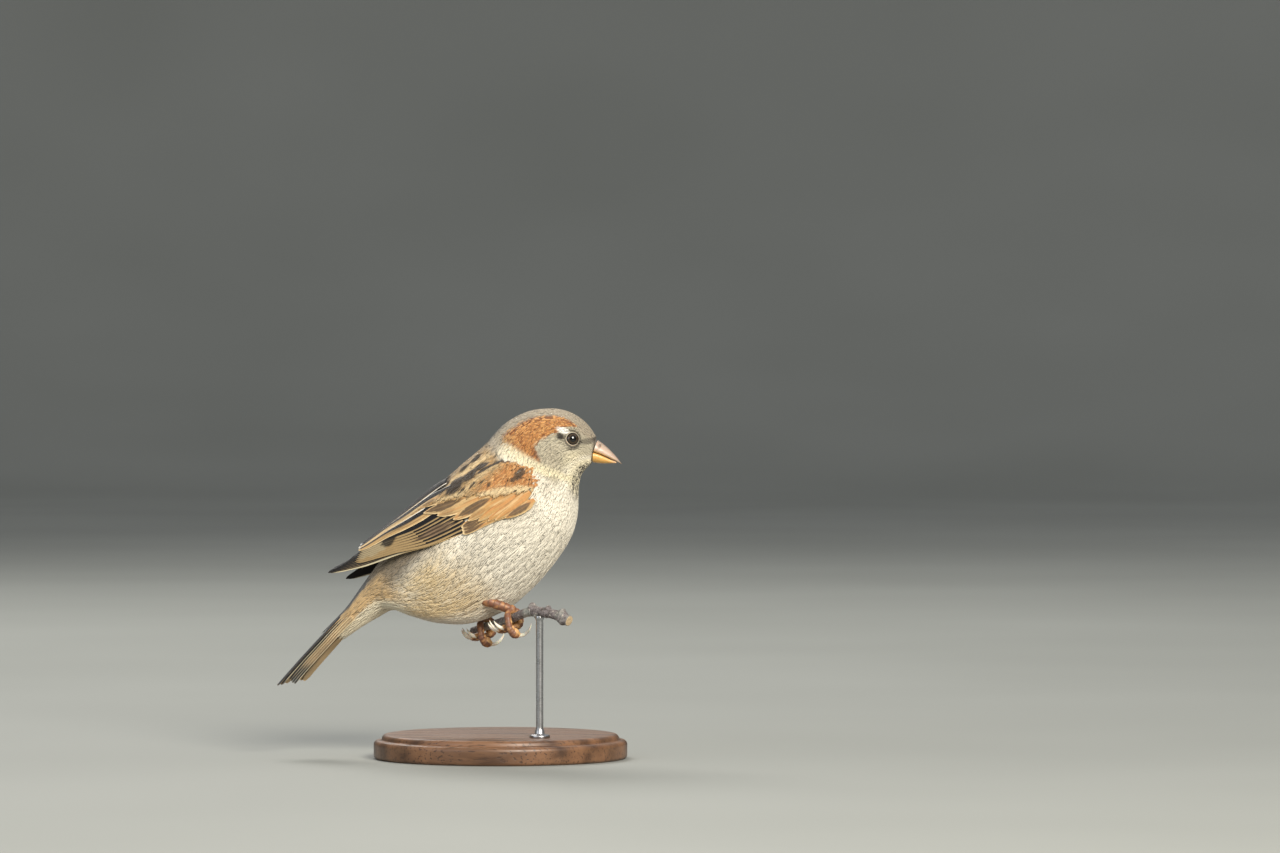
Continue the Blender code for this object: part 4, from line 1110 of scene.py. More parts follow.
def steel_material(groups):
    """Brushed steel rod: fine scratches round it, and faint smudges in its shine."""
    material, tree, shader = new_material("Brushed steel", Metallic=1.0)
    vector = object_coordinates(tree, scale=(500, 500, 9000))
    scratch = spread(tree, noise(tree, vector, 1.0, 3.0), 0.3, 0.7)
    relief = group_node(tree, groups["relief"], Scale=350.0, Strength=0.1, Depth=0.00005)
    feed(tree, shader, Base_Color=blend_colours(tree, scratch, (0.36, 0.36, 0.37), (0.56, 0.56, 0.57)),
         Normal=bumped(tree, scratch, 0.15, 0.00003),
         Roughness=spread(tree, relief["Height"], 0.3, 0.7, 0.24, 0.4))
    return material


SHADERS = {}


def shaders():
    """The finishes, made once."""
    if not SHADERS:
        ink = bpy.context.scene.sparrow_inks
        sizes = bpy.context.scene.sparrow_sizes
        groups = {"tone": uneven_tone_group(), "relief": fine_relief_group(), "barbs": barb_group(),
                  "strands": strand_group()}
        SHADERS["down"] = down_material(groups)
        SHADERS["covert"] = vane_material(groups, "Wing covert vanes", 0.17, 0.10, 0.5)
        SHADERS["quill"] = vane_material(groups, "Flight feather vanes", 0.15, 0.07, 0.5)
        SHADERS["horn"] = horn_material(groups)
        SHADERS["scute"] = scute_material(groups)
        SHADERS["eye"] = eye_material(eye_centre(sizes, 1), mm(sizes.eye_radius), ink)
        SHADERS["bark"] = bark_material(groups, ink)
        SHADERS["walnut"] = walnut_material(groups, ink)
        SHADERS["steel"] = steel_material(groups)
    return SHADERS


# ---- Settings -----------------------------------------------------------------------------------


def ink_property(name, rgb, what):
    return FloatVectorProperty(name=name, description=what, default=rgb, size=3, min=0, max=1,
                               subtype="COLOR")


def length_property(name, mm, what):
    return FloatProperty(name=name, description=what, default=mm * MM, min=0, subtype="DISTANCE",
                         unit="LENGTH")


class SparrowInks(bpy.types.PropertyGroup):
    """Colours of the plumage and the bare parts."""

    crown: ink_property("Crown", (0.36, 0.30, 0.22), "Olive-grey of the crown and nape")
    chestnut: ink_property("Chestnut", (0.44, 0.19, 0.06), "Band from the eye down the side of the nape")
    orange: ink_property("Orange", (0.66, 0.34, 0.12), "Orange-buff tips of the chestnut band and shoulder")
    olive: ink_property("Olive", (0.23, 0.165, 0.08), "Olive shade between the stripes of the back")
    dark_chestnut: ink_property("Dark chestnut", (0.20, 0.07, 0.025), "Lower rim of the chestnut band")
    cheek: ink_property("Cheek", (0.46, 0.41, 0.30), "Grey-buff ear coverts")
    white: ink_property("White spot", (0.92, 0.89, 0.82), "Spot over the hind corner of the eye")
    collar: ink_property("Collar", (0.80, 0.71, 0.48), "Pale band under and behind the cheek")
    breast: ink_property("Breast", (0.84, 0.78, 0.65), "Grey-white breast and belly")
    breast_side: ink_property("Breast side", (0.72, 0.66, 0.54), "Greyer sides of the breast")
    flank: ink_property("Flank", (0.70, 0.54, 0.31), "Warm buff of the flanks")
    vent: ink_property("Vent", (0.80, 0.72, 0.54), "Cream vent and undertail coverts")
    rump: ink_property("Rump", (0.25, 0.20, 0.14), "Grey-brown rump")
    slate: ink_property("Slate", (0.075, 0.08, 0.085), "Blue-grey uppertail coverts and hind neck")
    side_coverts: ink_property("Side coverts", (0.62, 0.42, 0.21), "Buff-brown sides of the tail root")
    mantle: ink_property("Mantle", (0.52, 0.34, 0.17), "Buff ground of the mantle and scapulars")
    cream: ink_property("Cream", (0.72, 0.54, 0.30), "Pale fringes and braces of the mantle")
    black: ink_property("Black", (0.026, 0.021, 0.018), "Feather centres, lores and bib")
    shoulder: ink_property("Shoulder", (0.50, 0.22, 0.075), "Chestnut lesser coverts")
    bar: ink_property("Wing bar", (0.76, 0.58, 0.33), "Cream tips of the median coverts")
    covert: ink_property("Greater coverts", (0.42, 0.245, 0.090), "Rufous-buff greater coverts")
    centre: ink_property("Dark centres", (0.088, 0.058, 0.036), "Centres of coverts and tertials")
    flight: ink_property("Flight feathers", (0.018, 0.018, 0.020), "Webs of the flight feathers")
    flight_edge: ink_property("Flight edges", (0.72, 0.49, 0.23), "Buff outer edges of flight feathers")
    tail: ink_property("Tail", (0.030, 0.030, 0.032), "Webs of the tail feathers")
    tail_edge: ink_property("Tail edges", (0.70, 0.50, 0.27), "Pale edges of the tail feathers")
    bill_upper: ink_property("Upper bill", (0.47, 0.345, 0.265), "Pinkish horn of the upper mandible")
    bill_lower: ink_property("Lower bill", (0.66, 0.37, 0.10), "Yellow lower mandible")
    bill_tip: ink_property("Bill tip", (0.17, 0.125, 0.09), "Grey culmen and tip")
    iris: ink_property("Iris", (0.026, 0.016, 0.008), "Dark brown of the iris")
    iris_light: ink_property("Iris rays", (0.055, 0.036, 0.019), "Lighter rays in the iris")
    pupil: ink_property("Pupil", (0.004, 0.004, 0.004), "Pupil and rim of the iris")
    lid: ink_property("Eyelid", (0.50, 0.43, 0.32), "Pale bare ring round the eye")
    leg: ink_property("Leg", (0.185, 0.075, 0.04), "Red-brown scales of the legs")
    pad: ink_property("Toe pads", (0.60, 0.30, 0.11), "Orange-buff pads under the toes")
    claw: ink_property("Claw", (0.80, 0.74, 0.61), "Ivory horn of the claws")
    bark: ink_property("Bark", (0.23, 0.20, 0.20), "Young grey-violet bark")
    bark_dark: ink_property("Bark cracks", (0.06, 0.045, 0.04), "Cracks in the bark")
    bark_dust: ink_property("Bark dust", (0.34, 0.35, 0.31), "Grey-green dust on the bark")
    bark_spot: ink_property("Lenticels", (0.50, 0.44, 0.38), "Pale corky dots of the bark")
    walnut: ink_property("Walnut", (0.16, 0.075, 0.035), "Main tone of the base")
    walnut_dark: ink_property("Walnut grain", (0.055, 0.025, 0.012), "Dark grain of the base")
    walnut_light: ink_property("Walnut light", (0.27, 0.14, 0.07), "Light streaks of the base")


class SparrowSizes(bpy.types.PropertyGroup):
    """Sizes of the feathers and of the bare parts."""

    seed: IntProperty(name="Seed", description="Start of every random draw", default=7)
    face_row: length_property("Face rows", 0.62, "From one row of face feathers to the next")
    head_row: length_property("Head rows", 1.0, "From one row of head feathers to the next")
    body_row: length_property("Body rows", 1.95, "From one row of body feathers to the next")
    wing_row: length_property("Wing rows", 1.3, "From one row of small wing coverts to the next")
    eye_along: length_property("Eye along", 24.8, "Eye centre forward of the origin")
    eye_height: length_property("Eye height", 105.8, "Eye centre above the ground")
    eye_aside: length_property("Eye aside", 6.8, "Eye centre to the side of the middle")
    eye_radius: length_property("Eye radius", 2.6, "Radius of the eyeball")
    lid_inner: length_property("Lid opening", 1.98, "Radius of the opening between the lids")
    lid_outer: length_property("Lid rim", 2.42, "Outer radius of the bare ring")
    toe_radius: length_property("Toe radius", 1.0, "Radius of a toe")
    tarsus_radius: length_property("Tarsus radius", 1.55, "Radius of the tarsus")
    claw_radius: length_property("Claw radius", 0.72, "Radius of a claw at its root")
    tail_length: length_property("Tail feather", 30.5, "Length of the middle tail feathers past the coverts")
    tail_width: length_property("Tail feather width", 5.5, "Width of a tail feather")
    base_radius: length_property("Base radius", 42.0, "Radius of the round base")
    base_height: length_property("Base height", 8.0, "Height of the round base")
    rod_radius: length_property("Rod radius", 1.2, "Radius of the stand's rod")


def mm(value):
    return value / MM


def eye_centre(sizes, sign):
    return np.array((mm(sizes.eye_along), sign * mm(sizes.eye_aside), mm(sizes.eye_height)))


# ---- Coat ---------------------------------------------------------------------------------------


def coat_depth(place):
    """How deep the coat is, in mm: thin on the face, deep on the body, thin again over the tail."""
    return knots(place, (0, 0.3), (1.5, 0.4), (3.2, 0.45), (4.4, 0.55), (6, 0.6), (8, 0.65), (12, 0.65),
                 (14, 0.6), (16, 0.5))


def skin_form(places, angles):
    """The skin: the plumage's surface drawn in by the coat's depth."""
    point, normal, _, _ = frames_on(body_form, places, angles)
    return point - normal * coat_depth(places)[:, None]


def make_skin(sizes, ink, finish):
    """The closed skin, which dips under each eyeball inside the lids' ring."""
    place = np.concatenate((np.linspace(0.05, 4, 110), np.linspace(4.1, 15.93, 140)))
    rows, columns = len(place), 168
    angle = np.arange(columns) * 360 / columns
    grid_place, grid_angle = np.meshgrid(place, angle, indexing="ij")
    points = skin_form(grid_place.ravel(), grid_angle.ravel())
    along, off = round_eye(points, eye_centre(sizes, 1))
    ball = np.sqrt(np.clip(mm(sizes.eye_radius) ** 2 - off**2, 0, None)) - 0.3
    rim = mm(sizes.lid_outer)
    dip = np.clip(along - ball, 0, None) * (1 - ease(rim - 0.3, rim, off)) * (np.abs(points[:, 1]) > 4)
    way = unit(EYE_AXIS) * np.stack((np.ones_like(off), np.sign(points[:, 1]), np.ones_like(off)), axis=-1)
    points = points - way * dip[:, None]
    colours = plumage_colour(grid_place, grid_angle, ink) * 0.8
    faces = tube_faces(rows, columns, inside_out=True)
    uv = skin_map(grid_place.ravel(), grid_angle.ravel())
    skin = make_piece("skin", points, faces, finish,
                      ("head", "neck", "trunk", "tail_coverts"), colours, uv)
    lay = np.stack((0.3 * grid_angle, 6.0 * grid_place, 0 * grid_place), axis=-1)
    give_vectors(skin, "Strands", lay)


def flow_round_eye(place, angle, sizes):
    """The lie of face feathers, in radians from straight back: they part round each eye and close behind
    it, and lie a little downwards over the cheek."""
    point, normal, t, _ = frames_on(body_form, place, angle)
    forward = unit(t)
    sideways = np.cross(normal, forward)
    side = np.where(point[:, 1] < 0, -1.0, 1.0)
    centre = eye_centre(sizes, 1) + 1.6 * unit(EYE_AXIS)
    away = point - centre * np.stack((np.ones_like(side), side, np.ones_like(side)), axis=-1)
    distance = np.linalg.norm(away, axis=1)
    push = 1.5 * np.exp(-(((distance - 2.3) / 1.6) ** 2)) * (dot(away, forward) < 0.8)
    heading = forward + unit(away) * push[:, None]
    return np.arctan2(dot(heading, sideways), dot(heading, forward)), distance


def clear_of_eye(fans, sizes):
    """The locks that stay off the lids and out of the opening between them."""
    points = fans["points"]
    _, off = round_eye(points, eye_centre(sizes, 1))
    return ~((off < mm(sizes.lid_outer) - 0.08).any(axis=1) & (np.abs(points[..., 1]) > 5).any(axis=1))


def mirror_sign(angle):
    """1 on the right side, -1 on the left."""
    return np.where((np.asarray(angle) % 360) <= 180, 1.0, -1.0)


def coat_tract(rng, start, end, row, length, half_width, count, keep=None, droop=0.0, loose=0.06):
    """One tract of feathers between two places. length and half_width are functions of place and angle."""
    place, angle = tract(row, start, end, 0.0, 360.0, body_form, rng, COAT_SPREAD)
    if keep is not None:
        chosen = keep(place, angle)
        place, angle = place[chosen], angle[chosen]
    lie = droop * mirror_sign(angle) * np.sin(np.radians(folded(angle))) + rng.normal(0, 0.05, len(place))
    size = 1 + rng.normal(0, 0.06, len(place))
    long, half = length(place, angle) * size, half_width(place, angle) * size
    return feather_fans(body_form, place, angle, lie, long, half, coat_depth(place), count, rng, loose)


def face_fans(sizes, rng):
    row = mm(sizes.face_row)
    place, angle = tract(row, 0.03, 3.35, 0, 360, body_form, rng, FACE_SPREAD)
    lie, distance = flow_round_eye(place, angle, sizes)
    far = distance > mm(sizes.lid_outer) - 0.15
    place, angle, lie, distance = place[far], angle[far], lie[far], distance[far]
    lie = lie + rng.normal(0, 0.1, len(lie))
    length = knots(place, (0.1, 1.5), (1.5, 1.7), (3.4, 2.3)) * (0.6 + 0.4 * ease(2.9, 4.8, distance))
    half = 0.27 * length
    return feather_fans(body_form, place, angle, lie, length, half, coat_depth(place), 4, rng)


def over_wing(place, angle):
    """True where the body's coat is out of sight under a folded wing."""
    bed = place - 6
    high, low = wing_edges(np.clip(bed, 0, 7))
    a = folded(angle)
    reach = np.clip(bed, 0, 1)
    return (bed > 0.6) & (bed < 3.7) & (a > high + 9 * reach) & (a < low - 8 * reach)


def body_fans(sizes, rng):
    """All contour feathers behind the face, by tract."""
    row = mm(sizes.body_row)

    def beside_wing(place, angle):
        return ~over_wing(place, angle)

    head = coat_tract(
        rng, 3.2, 6.35, mm(sizes.head_row), lambda p, a: knots(p, (3, 2.5), (6.4, 4.6)),
        lambda p, a: knots(p, (3, 0.75), (6.4, 1.25)), 7, droop=0.12,
    )
    trunk = coat_tract(
        rng, 6.1, 9.7, row, lambda p, a: knots(p, (6, 5.4), (8, 8.0), (10, 9.5)),
        lambda p, a: knots(p, (6, 1.4), (8, 1.9), (10, 2.1)), 16, keep=beside_wing, droop=0.05, loose=0.08,
    )
    belly = coat_tract(
        rng, 9.6, 13.2, row, lambda p, a: 9.5 + 2.5 * ease(60, 120, folded(a)),
        lambda p, a: np.full(len(p), 2.1), 16, keep=beside_wing, loose=0.10,
    )
    rear = coat_tract(
        rng, 13.0, 15.9, row * 0.85, lambda p, a: knots(p, (13, 9.5), (15, 9.0), (15.9, 8.0)),
        lambda p, a: knots(p, (13, 2.0), (15.9, 1.3)), 12, loose=0.12,
    )
    return {"head": head, "trunk": trunk, "belly": belly, "rear": rear}


# ---- Wings --------------------------------------------------------------------------------------


def wing_colour(place, angle, ink, whim):
    """Colour of the small coverts and scapulars at places on the bed of a wing."""
    p, a = place, np.abs(angle)
    point = wing_form(np.ravel(p), np.ravel(a)).reshape(*np.shape(p), 3)
    x, y, z = point[..., 0], point[..., 1], point[..., 2]
    fine = ripple(x, y, z, 0.5)
    odd = 2 * whim - 1
    colour = mantle_colour(a, x, y, z, ink, whim)
    # Chestnut shoulder, streaked with buff above, deepest over the cream bar.
    bar_line = knots(p, (-0.3, 112), (0.5, 92.5), (0.91, 83.5), (1.33, 75), (1.66, 70.5), (2.0, 66.5),
                     (2.5, 58))
    top_line = knots(p, (-0.3, 86), (0, 78), (0.2, 69), (0.6, 60), (1.1, 59), (1.6, 60), (2.2, 60))
    shoulder = ease(-4, 3, a - top_line + 3 * odd) * ease(-2, 2, bar_line - a) * (1 - ease(1.5, 2.1, p))
    colour = over(colour, ink.shoulder, shoulder)
    depth = (a - top_line) / np.maximum(bar_line - top_line, 1)
    colour = over(colour, ink.orange, 0.9 * shoulder * ease(0.1, 0.6, odd + 0.5 - depth))
    buff = ease(0.6, 0.95, odd + 0.15 * fine) * (1 - 0.6 * depth)
    colour = over(colour, ink.cream, 0.6 * shoulder * buff)
    patch = marks(x, z, ((8.9, 94.2, 2.7, 1.5, 60), (6.9, 92.3, 1.3, 0.8, 30), (-0.9, 90.5, 0.9, 0.6, 60)),
                  0.25 * odd + 0.08 * fine)
    colour = over(colour, ink.centre, 0.92 * patch)
    # Cream bar, ragged where its tips hang over the greater coverts.
    half = knots(p, (0.4, 3.0), (0.9, 4.4), (1.5, 3.8), (2.0, 2.4))
    bar = np.exp(-(((a - bar_line + 1.5 * odd) / half) ** 4)) * ease(0.2, 0.6, p) * (1 - ease(1.9, 2.3, p))
    colour = over(colour, ink.bar, bar)
    return np.clip(colour, 0.005, 1)


def shoulder_fans(sizes, rng, side):
    """Lesser and median coverts and scapulars of one wing, as fans of soft locks."""
    row = mm(sizes.wing_row)
    low, high = (8, 108) if side > 0 else (-108, -8)
    place, angle = tract(row, -0.35, 3.1, low, high, shoulder_form, rng, SHOULDER_SPREAD)
    a = np.abs(angle)
    upper, _ = wing_edges(place)
    # The last feathers reach the cream bar and the inner greater coverts with their tips.
    limit = knots(place + 0.28, (-0.3, 96), (0.3, 96), (0.5, 94.5), (0.91, 87), (1.33, 78.5), (1.66, 73),
                  (1.9, 66), (2.36, 51), (2.78, 41), (3.19, 34), (3.5, 28))
    inside = (a > upper - 6) & (a < limit)
    place, angle, a = place[inside], angle[inside], a[inside]
    scapular = ease(64, 50, a) * ease(0.5, 1.4, place)
    length = knots(place, (-0.3, 2.2), (0.3, 3.0), (1.2, 4.2), (3.3, 5.0)) * (1 + 0.4 * scapular)
    half = 0.25 * length * (1 - 0.1 * scapular)
    tilt = knots(a, (10, 0.05), (45, 0.14), (75, 0.12), (100, -0.1)) * side
    lie = tilt + rng.normal(0, 0.06, len(place))
    deep = np.full(len(place), 0.8)
    return feather_fans(shoulder_form, place, angle, lie, length, half, deep, 13, rng, loose=0.14)


def covert_paint(ink, dark, middle, half, seed):
    """Greater covert: a rufous-buff web with streaks along it, a dark lens about the shaft from
    middle - half to middle + half of its length, and a cream fringe along its lower edge and tip."""

    def paint(s, u, point):
        x = point[..., 0]
        streak = grain(4.5 * u + 2 * s, 3 * s, seed)
        barb = grain(34 * s - 7 * np.abs(u), 1.5 * u, seed)
        colour = plain(ink.covert, s.shape)
        colour = over(colour, ink.shoulder, 0.45 * ease(-4, 9, x) * ease(0.8, -0.4, u))
        colour = over(colour, ink.cream, 0.30 * ease(2, -12, x) + 0.45 * ease(0.05, 0.7, streak))
        colour = over(colour, ink.shoulder, 0.7 * ease(0.05, 0.7, -streak))
        colour = over(colour, ink.centre, 0.35 * ease(0.25, 0.8, grain(9 * u + 3 * s, 2.5 * s, seed + 3)))
        colour = over(colour, ink.olive, 0.55 * np.exp(-(((u - 0.66) / 0.10) ** 2)) * ease(0.2, 0.5, s))
        lens = 1 - ((s - middle) / half) ** 2 - np.abs(u + 0.05) / 0.72 + 0.16 * barb
        shade = np.array(ink.centre)[None, None, :] * (1 + 0.6 * np.clip(barb, 0, 1))[..., None]
        shade = over(shade, ink.covert, 0.25 * np.exp(-((u / 0.05) ** 2)))
        colour = colour + (shade - colour) * (dark * ease(-0.06, 0.14, lens))[..., None]
        fringe = np.clip(ease(0.74, 0.86, u) * ease(0.1, 0.4, s) + ease(0.94, 0.985, s), 0, 1)
        return over(colour, ink.bar, (0.55 + 0.35 * ease(0, -10, x)) * fringe)

    return paint


def tertial_paint(ink, edge, edge_wide, warmth):
    """Tertial: a dark web with a broad buff lower web, streaked along, and a thin pale fringe."""

    def paint(s, u, point):
        colour = plain(ink.flight, s.shape)
        lower = ease(1 - edge_wide - 0.10, 1 - edge_wide + 0.05, u + 0.08 * np.sin(5 * s))
        web = np.array(ink.covert) * warmth + np.array(ink.cream) * (1 - warmth)
        colour = over(colour, web, lower)
        lines = ease(0.1, 0.6, grain(9 * u + 3 * s, 2.5 * s, 5))
        colour = over(colour, ink.centre, 0.6 * lower * lines * ease(0.95, 0.8, u))
        fringe = 0.95 * ease(0.84, 0.90, u) + 0.85 * ease(0.90, 0.96, -u) + 0.7 * ease(0.965, 0.99, s)
        return over(colour, edge, np.clip(fringe, 0, 1))

    return paint


def remex_paint(ink, wide, dark_from=0.8, edge=0.75, pale=0.0):
    """Flight feather: dark web and a buff outer (lower) edge that thins towards the tip, and a pale
    line along the last of it where pale is over 0."""

    def paint(s, u, point):
        x, z = point[..., 0], point[..., 2]
        colour = plain(ink.flight, s.shape)
        limit = 1 - wide * (1 - 0.4 * s) * (1 - 0.6 * ease(dark_from - 0.3, dark_from, s))
        rim = ease(limit - 0.06, limit + 0.04, u)
        colour = over(colour, ink.flight_edge, edge * rim)
        colour = over(colour, ink.bar, 0.6 * edge * ease(0.90, 0.97, u))
        blush = marks(x, z, ((-40.5, 69.3, 6.5, 2.2, 27),), 0.3 * grain(20 * s, 2 * u))
        colour = over(colour, ink.collar, 0.5 * rim * blush)
        barb = grain(44 * s - 4 * u, 2 * u)
        dark = marks(x, z, REMEX_MARKS, 0.3 * barb * (x > -27))
        tone = 1.5 + 3.0 * ease(0.1, 0.7, barb)
        shade = np.array(ink.centre)[None, None, :] * tone[..., None]
        shade = np.where(x[..., None] > -27, shade, np.array(ink.flight))
        colour = colour + (shade - colour) * (0.9 * dark * (1 - 0.6 * ease(0.93, 0.98, u)))[..., None]
        last = ease(0.4, 0.6, u) * ease(0.35, 0.6, s) * (1 - ease(0.94, 1, s))
        colour = over(colour, ink.collar, pale * last)
        tip = 1 - 0.5 * ease(dark_from, 1, s) * (1 - pale)
        return colour * tip[..., None]

    return paint


def make_flight_feathers(name, side, ink, finish, rng):
    """Primaries and secondaries: each inner feather lies over the next outer one."""
    tips = ((7.68, 61), (7.74, 58), (7.68, 55), (7.44, 51), (7.18, 47.5), (6.95, 44), (6.76, 41), (6.6, 38),
            (6.48, 35))
    primaries = Vanes(44, 13)
    for k, tip in enumerate(tips):
        line = ((2.8, 81 - 2.0 * k), (5.1, 62.6 - 2.3 * k), tip)
        edge = remex_paint(ink, 0.28, 0.66, 0.95, 0.75 if k < 1 else 0.0)
        wing_vane(primaries, side, line, 0.95, 3.1 - 0.12 * k, (0.05 * k, 0.14 + 0.07 * k), edge, rng,
                  round_from=0.72, pointed=0.62, crown=0.03)
    primaries.finish(name + "_primaries", finish, "quill", (name + "_primaries",))
    secondaries = Vanes(38, 15)
    for k in range(7):
        line = ((2.7, 78 - 3.4 * k), (4.75, 61 - 3.1 * k), (6.46 - 0.08 * k, 46.5 - 2.5 * k))
        wing_vane(secondaries, side, line, 1.35, 3.2, (0.36 + 0.07 * k, 0.70 + 0.11 * k),
                  remex_paint(ink, 0.66, 1.4, 0.95), rng, round_from=0.9, pointed=0.5, crown=0.03)
    # Root, middle and tip of each tertial, its lower and upper web, heights, fringe, buff share, warmth.
    tertials = (
        (((2.5, 50), (4.4, 35.5), (6.05, 29)), 2.2, 3.0, (0.9, 1.52), ink.bar, 0.82, 0.75),
        (((2.4, 40), (4.2, 24.5), (6.0, 23)), 2.6, 3.2, (1.0, 1.63), ink.white, 0.80, 0.3),
        (((2.4, 27), (4.1, 12.5), (5.9, 16)), 3.0, 4.0, (1.1, 1.74), ink.white, 0.12, 0.3),
    )
    for line, low, high, heights, edge, wide, warmth in tertials:
        wing_vane(secondaries, side, line, low, high, heights, tertial_paint(ink, edge, wide, warmth), rng,
                  round_from=0.66, pointed=0.5, crown=0.12)
    secondaries.finish(name + "_secondaries", finish, "quill", (name + "_secondaries",))


def make_wing_coverts(name, side, ink, finish, rng):
    """Greater coverts, primary coverts and alula as vanes over the bases of the flight feathers."""
    vanes = Vanes(34, 19)
    # Primary coverts: buff, ending in a blunt grey-brown patch at the wing's lower edge.
    for k in range(3):
        line = ((1.4, 97 - 2.5 * k), (2.2, 87.5 - 2.4 * k), (2.98 - 0.05 * k, 80.5 - 2.2 * k))
        paint = covert_paint(ink, 0.95, 0.80, 0.25, 30 + k)
        heights = 0.5, 0.74 + 0.06 * k
        wing_vane(vanes, side, line, 1.0, 1.3, heights, paint, rng, round_from=0.82, crown=0.08)
    # Alula and greater coverts, from the bend of the wing inwards: root, middle, tip, lower and upper web,
    # strength, middle and half length of the dark centre.
    rows = (
        ((0.69, 101), (1.26, 97.5), (1.80, 94.5), 1.6, 1.6, 0.9, 0.56, 0.42),
        ((0.60, 94), (1.31, 91.5), (2.05, 91.0), 1.5, 2.2, 0.0, 0.6, 0.3),
        ((0.80, 90), (1.50, 88.5), (2.22, 87.5), 1.5, 2.2, 0.0, 0.6, 0.3),
        ((0.95, 86), (1.72, 84.5), (2.42, 82.0), 1.5, 2.2, 0.0, 0.6, 0.3),
        ((1.12, 81.5), (1.95, 79), (2.62, 76.0), 1.7, 2.2, 0.3, 0.75, 0.2),
        ((1.28, 77), (2.18, 71.5), (2.90, 66.5), 2.1, 2.3, 0.93, 0.56, 0.34),
        ((1.45, 73), (2.40, 63.5), (3.18, 54.0), 2.1, 2.3, 0.3, 0.80, 0.15),
        ((1.60, 69), (2.60, 55.0), (3.45, 42.0), 2.5, 2.3, 0.93, 0.68, 0.33),
        ((1.87, 60), (2.72, 44.5), (3.50, 32.0), 1.5, 2.3, 0.7, 0.74, 0.2),
    )
    for k, (root, middle, tip, low, high, dark, at, half) in enumerate(rows):
        heights = 0.78 + 0.02 * k, 1.02 + 0.07 * k
        paint = covert_paint(ink, dark, at, half, k)
        wing_vane(vanes, side, (root, middle, tip), low, high, heights, paint, rng,
                  round_from=0.42, pointed=0.72, crown=0.16, ragged=0.04)
    vanes.finish(name + "_coverts", finish, "wing", (name + "_coverts",))


# ---- Bare parts ---------------------------------------------------------------------------------

UPPER_BILL = np.array(
    (
        (32.75, 105.5, 31.5, 101.55, 3.55, 0.26, 0.0),
        (35.5, 103.35, 33.9, 100.75, 2.85, 0.26, 0.0),
        (38.1, 100.75, 37.0, 99.4, 1.75, 0.30, 0.0),
        (39.9, 98.55, 39.4, 98.2, 0.70, 0.45, 0.0),
        (40.5, 97.7, 40.3, 97.6, 0.22, 0.50, 0.0),
    )
)
LOWER_BILL = np.array(
    (
        (31.4, 101.0, 31.15, 97.95, 3.35, 0.74, 0.0),
        (33.8, 100.25, 33.3, 97.75, 2.6, 0.74, 0.0),
        (36.6, 98.95, 36.4, 97.75, 1.5, 0.70, 0.0),
        (38.9, 98.15, 38.7, 97.85, 0.45, 0.50, 0.0),
    )
)


def make_mandible(name, table, ink, finish):
    """One half of the bill: the sliced form with a culmen ridge, a nostril pit, faint growth lines, and a
    dark line along its cutting edge. The rows close in to a point at both ends."""
    rows, columns = 90, 64
    last = len(table) - 1
    place = np.linspace(0, last, rows)
    angle = np.arange(columns) * 360 / columns
    p, a = np.meshgrid(place, angle, indexing="ij")
    form = lambda q, w: slice_points(table, np.clip(q, 0.0, last), w)
    point, normal, _, _ = frames_on(form, np.clip(p, 0.03, last - 0.03).ravel(), a.ravel())
    point = form(p.ravel(), a.ravel())
    side = folded(a).ravel()
    upper = name == "bill_upper"
    q = p.ravel() / last
    relief = 0.018 * np.sin(34 * q + 0.04 * side) * (1 - q)
    if upper:
        relief = relief + 0.14 * np.exp(-((side / 13) ** 2)) * (1 - q)
        nostril = np.exp(-(((p.ravel() - 0.42) / 0.13) ** 2) - ((side - 47) / 13) ** 2)
        relief = relief - 0.42 * nostril
    else:
        relief = relief + 0.10 * np.exp(-(((180 - side) / 20) ** 2)) * (1 - q)
    point = point + normal * relief[:, None]
    if not upper:
        point[:, 2] += 0.55 * ease(100, 50, side) * (1 - 0.6 * q)
    if upper:
        colour = over(plain(ink.bill_upper, q.shape), ink.bill_tip, 0.75 * ease(0.5, 1.0, q))
        colour = over(colour, ink.bill_tip, 0.45 * np.exp(-((side / 30) ** 2)))
        colour = over(colour, ink.bill_lower, 0.75 * ease(78, 120, side) * (1 - ease(0.55, 0.9, q)))
        colour = over(colour, (0.06, 0.035, 0.02), 0.85 * nostril)
    else:
        colour = over(plain(ink.bill_lower, q.shape), ink.bill_upper, 0.5 * ease(0.6, 1, q))
        colour = over(colour, (0.2, 0.09, 0.03), 0.5 * ease(70, 45, side))
    make_piece(name, point, tube_faces(rows, columns), finish, (name,), colour)


def make_eye(name, sizes, sign, finish):
    """The eyeball: rings of a sphere about the line across the head."""
    rows, columns = 48, 64
    tilt = np.linspace(0.001, math.pi - 0.001, rows)[:, None]
    turn = (np.arange(columns) * 2 * math.pi / columns)[None, :]
    out, flat = np.cos(tilt) * np.ones_like(turn), np.sin(tilt)
    ball = np.stack((flat * np.cos(turn), sign * out, flat * np.sin(turn)), axis=-1)
    points = mm(sizes.eye_radius) * ball + eye_centre(sizes, sign)
    make_piece(name, points, tube_faces(rows, columns, inside_out=sign > 0), finish, (name,))


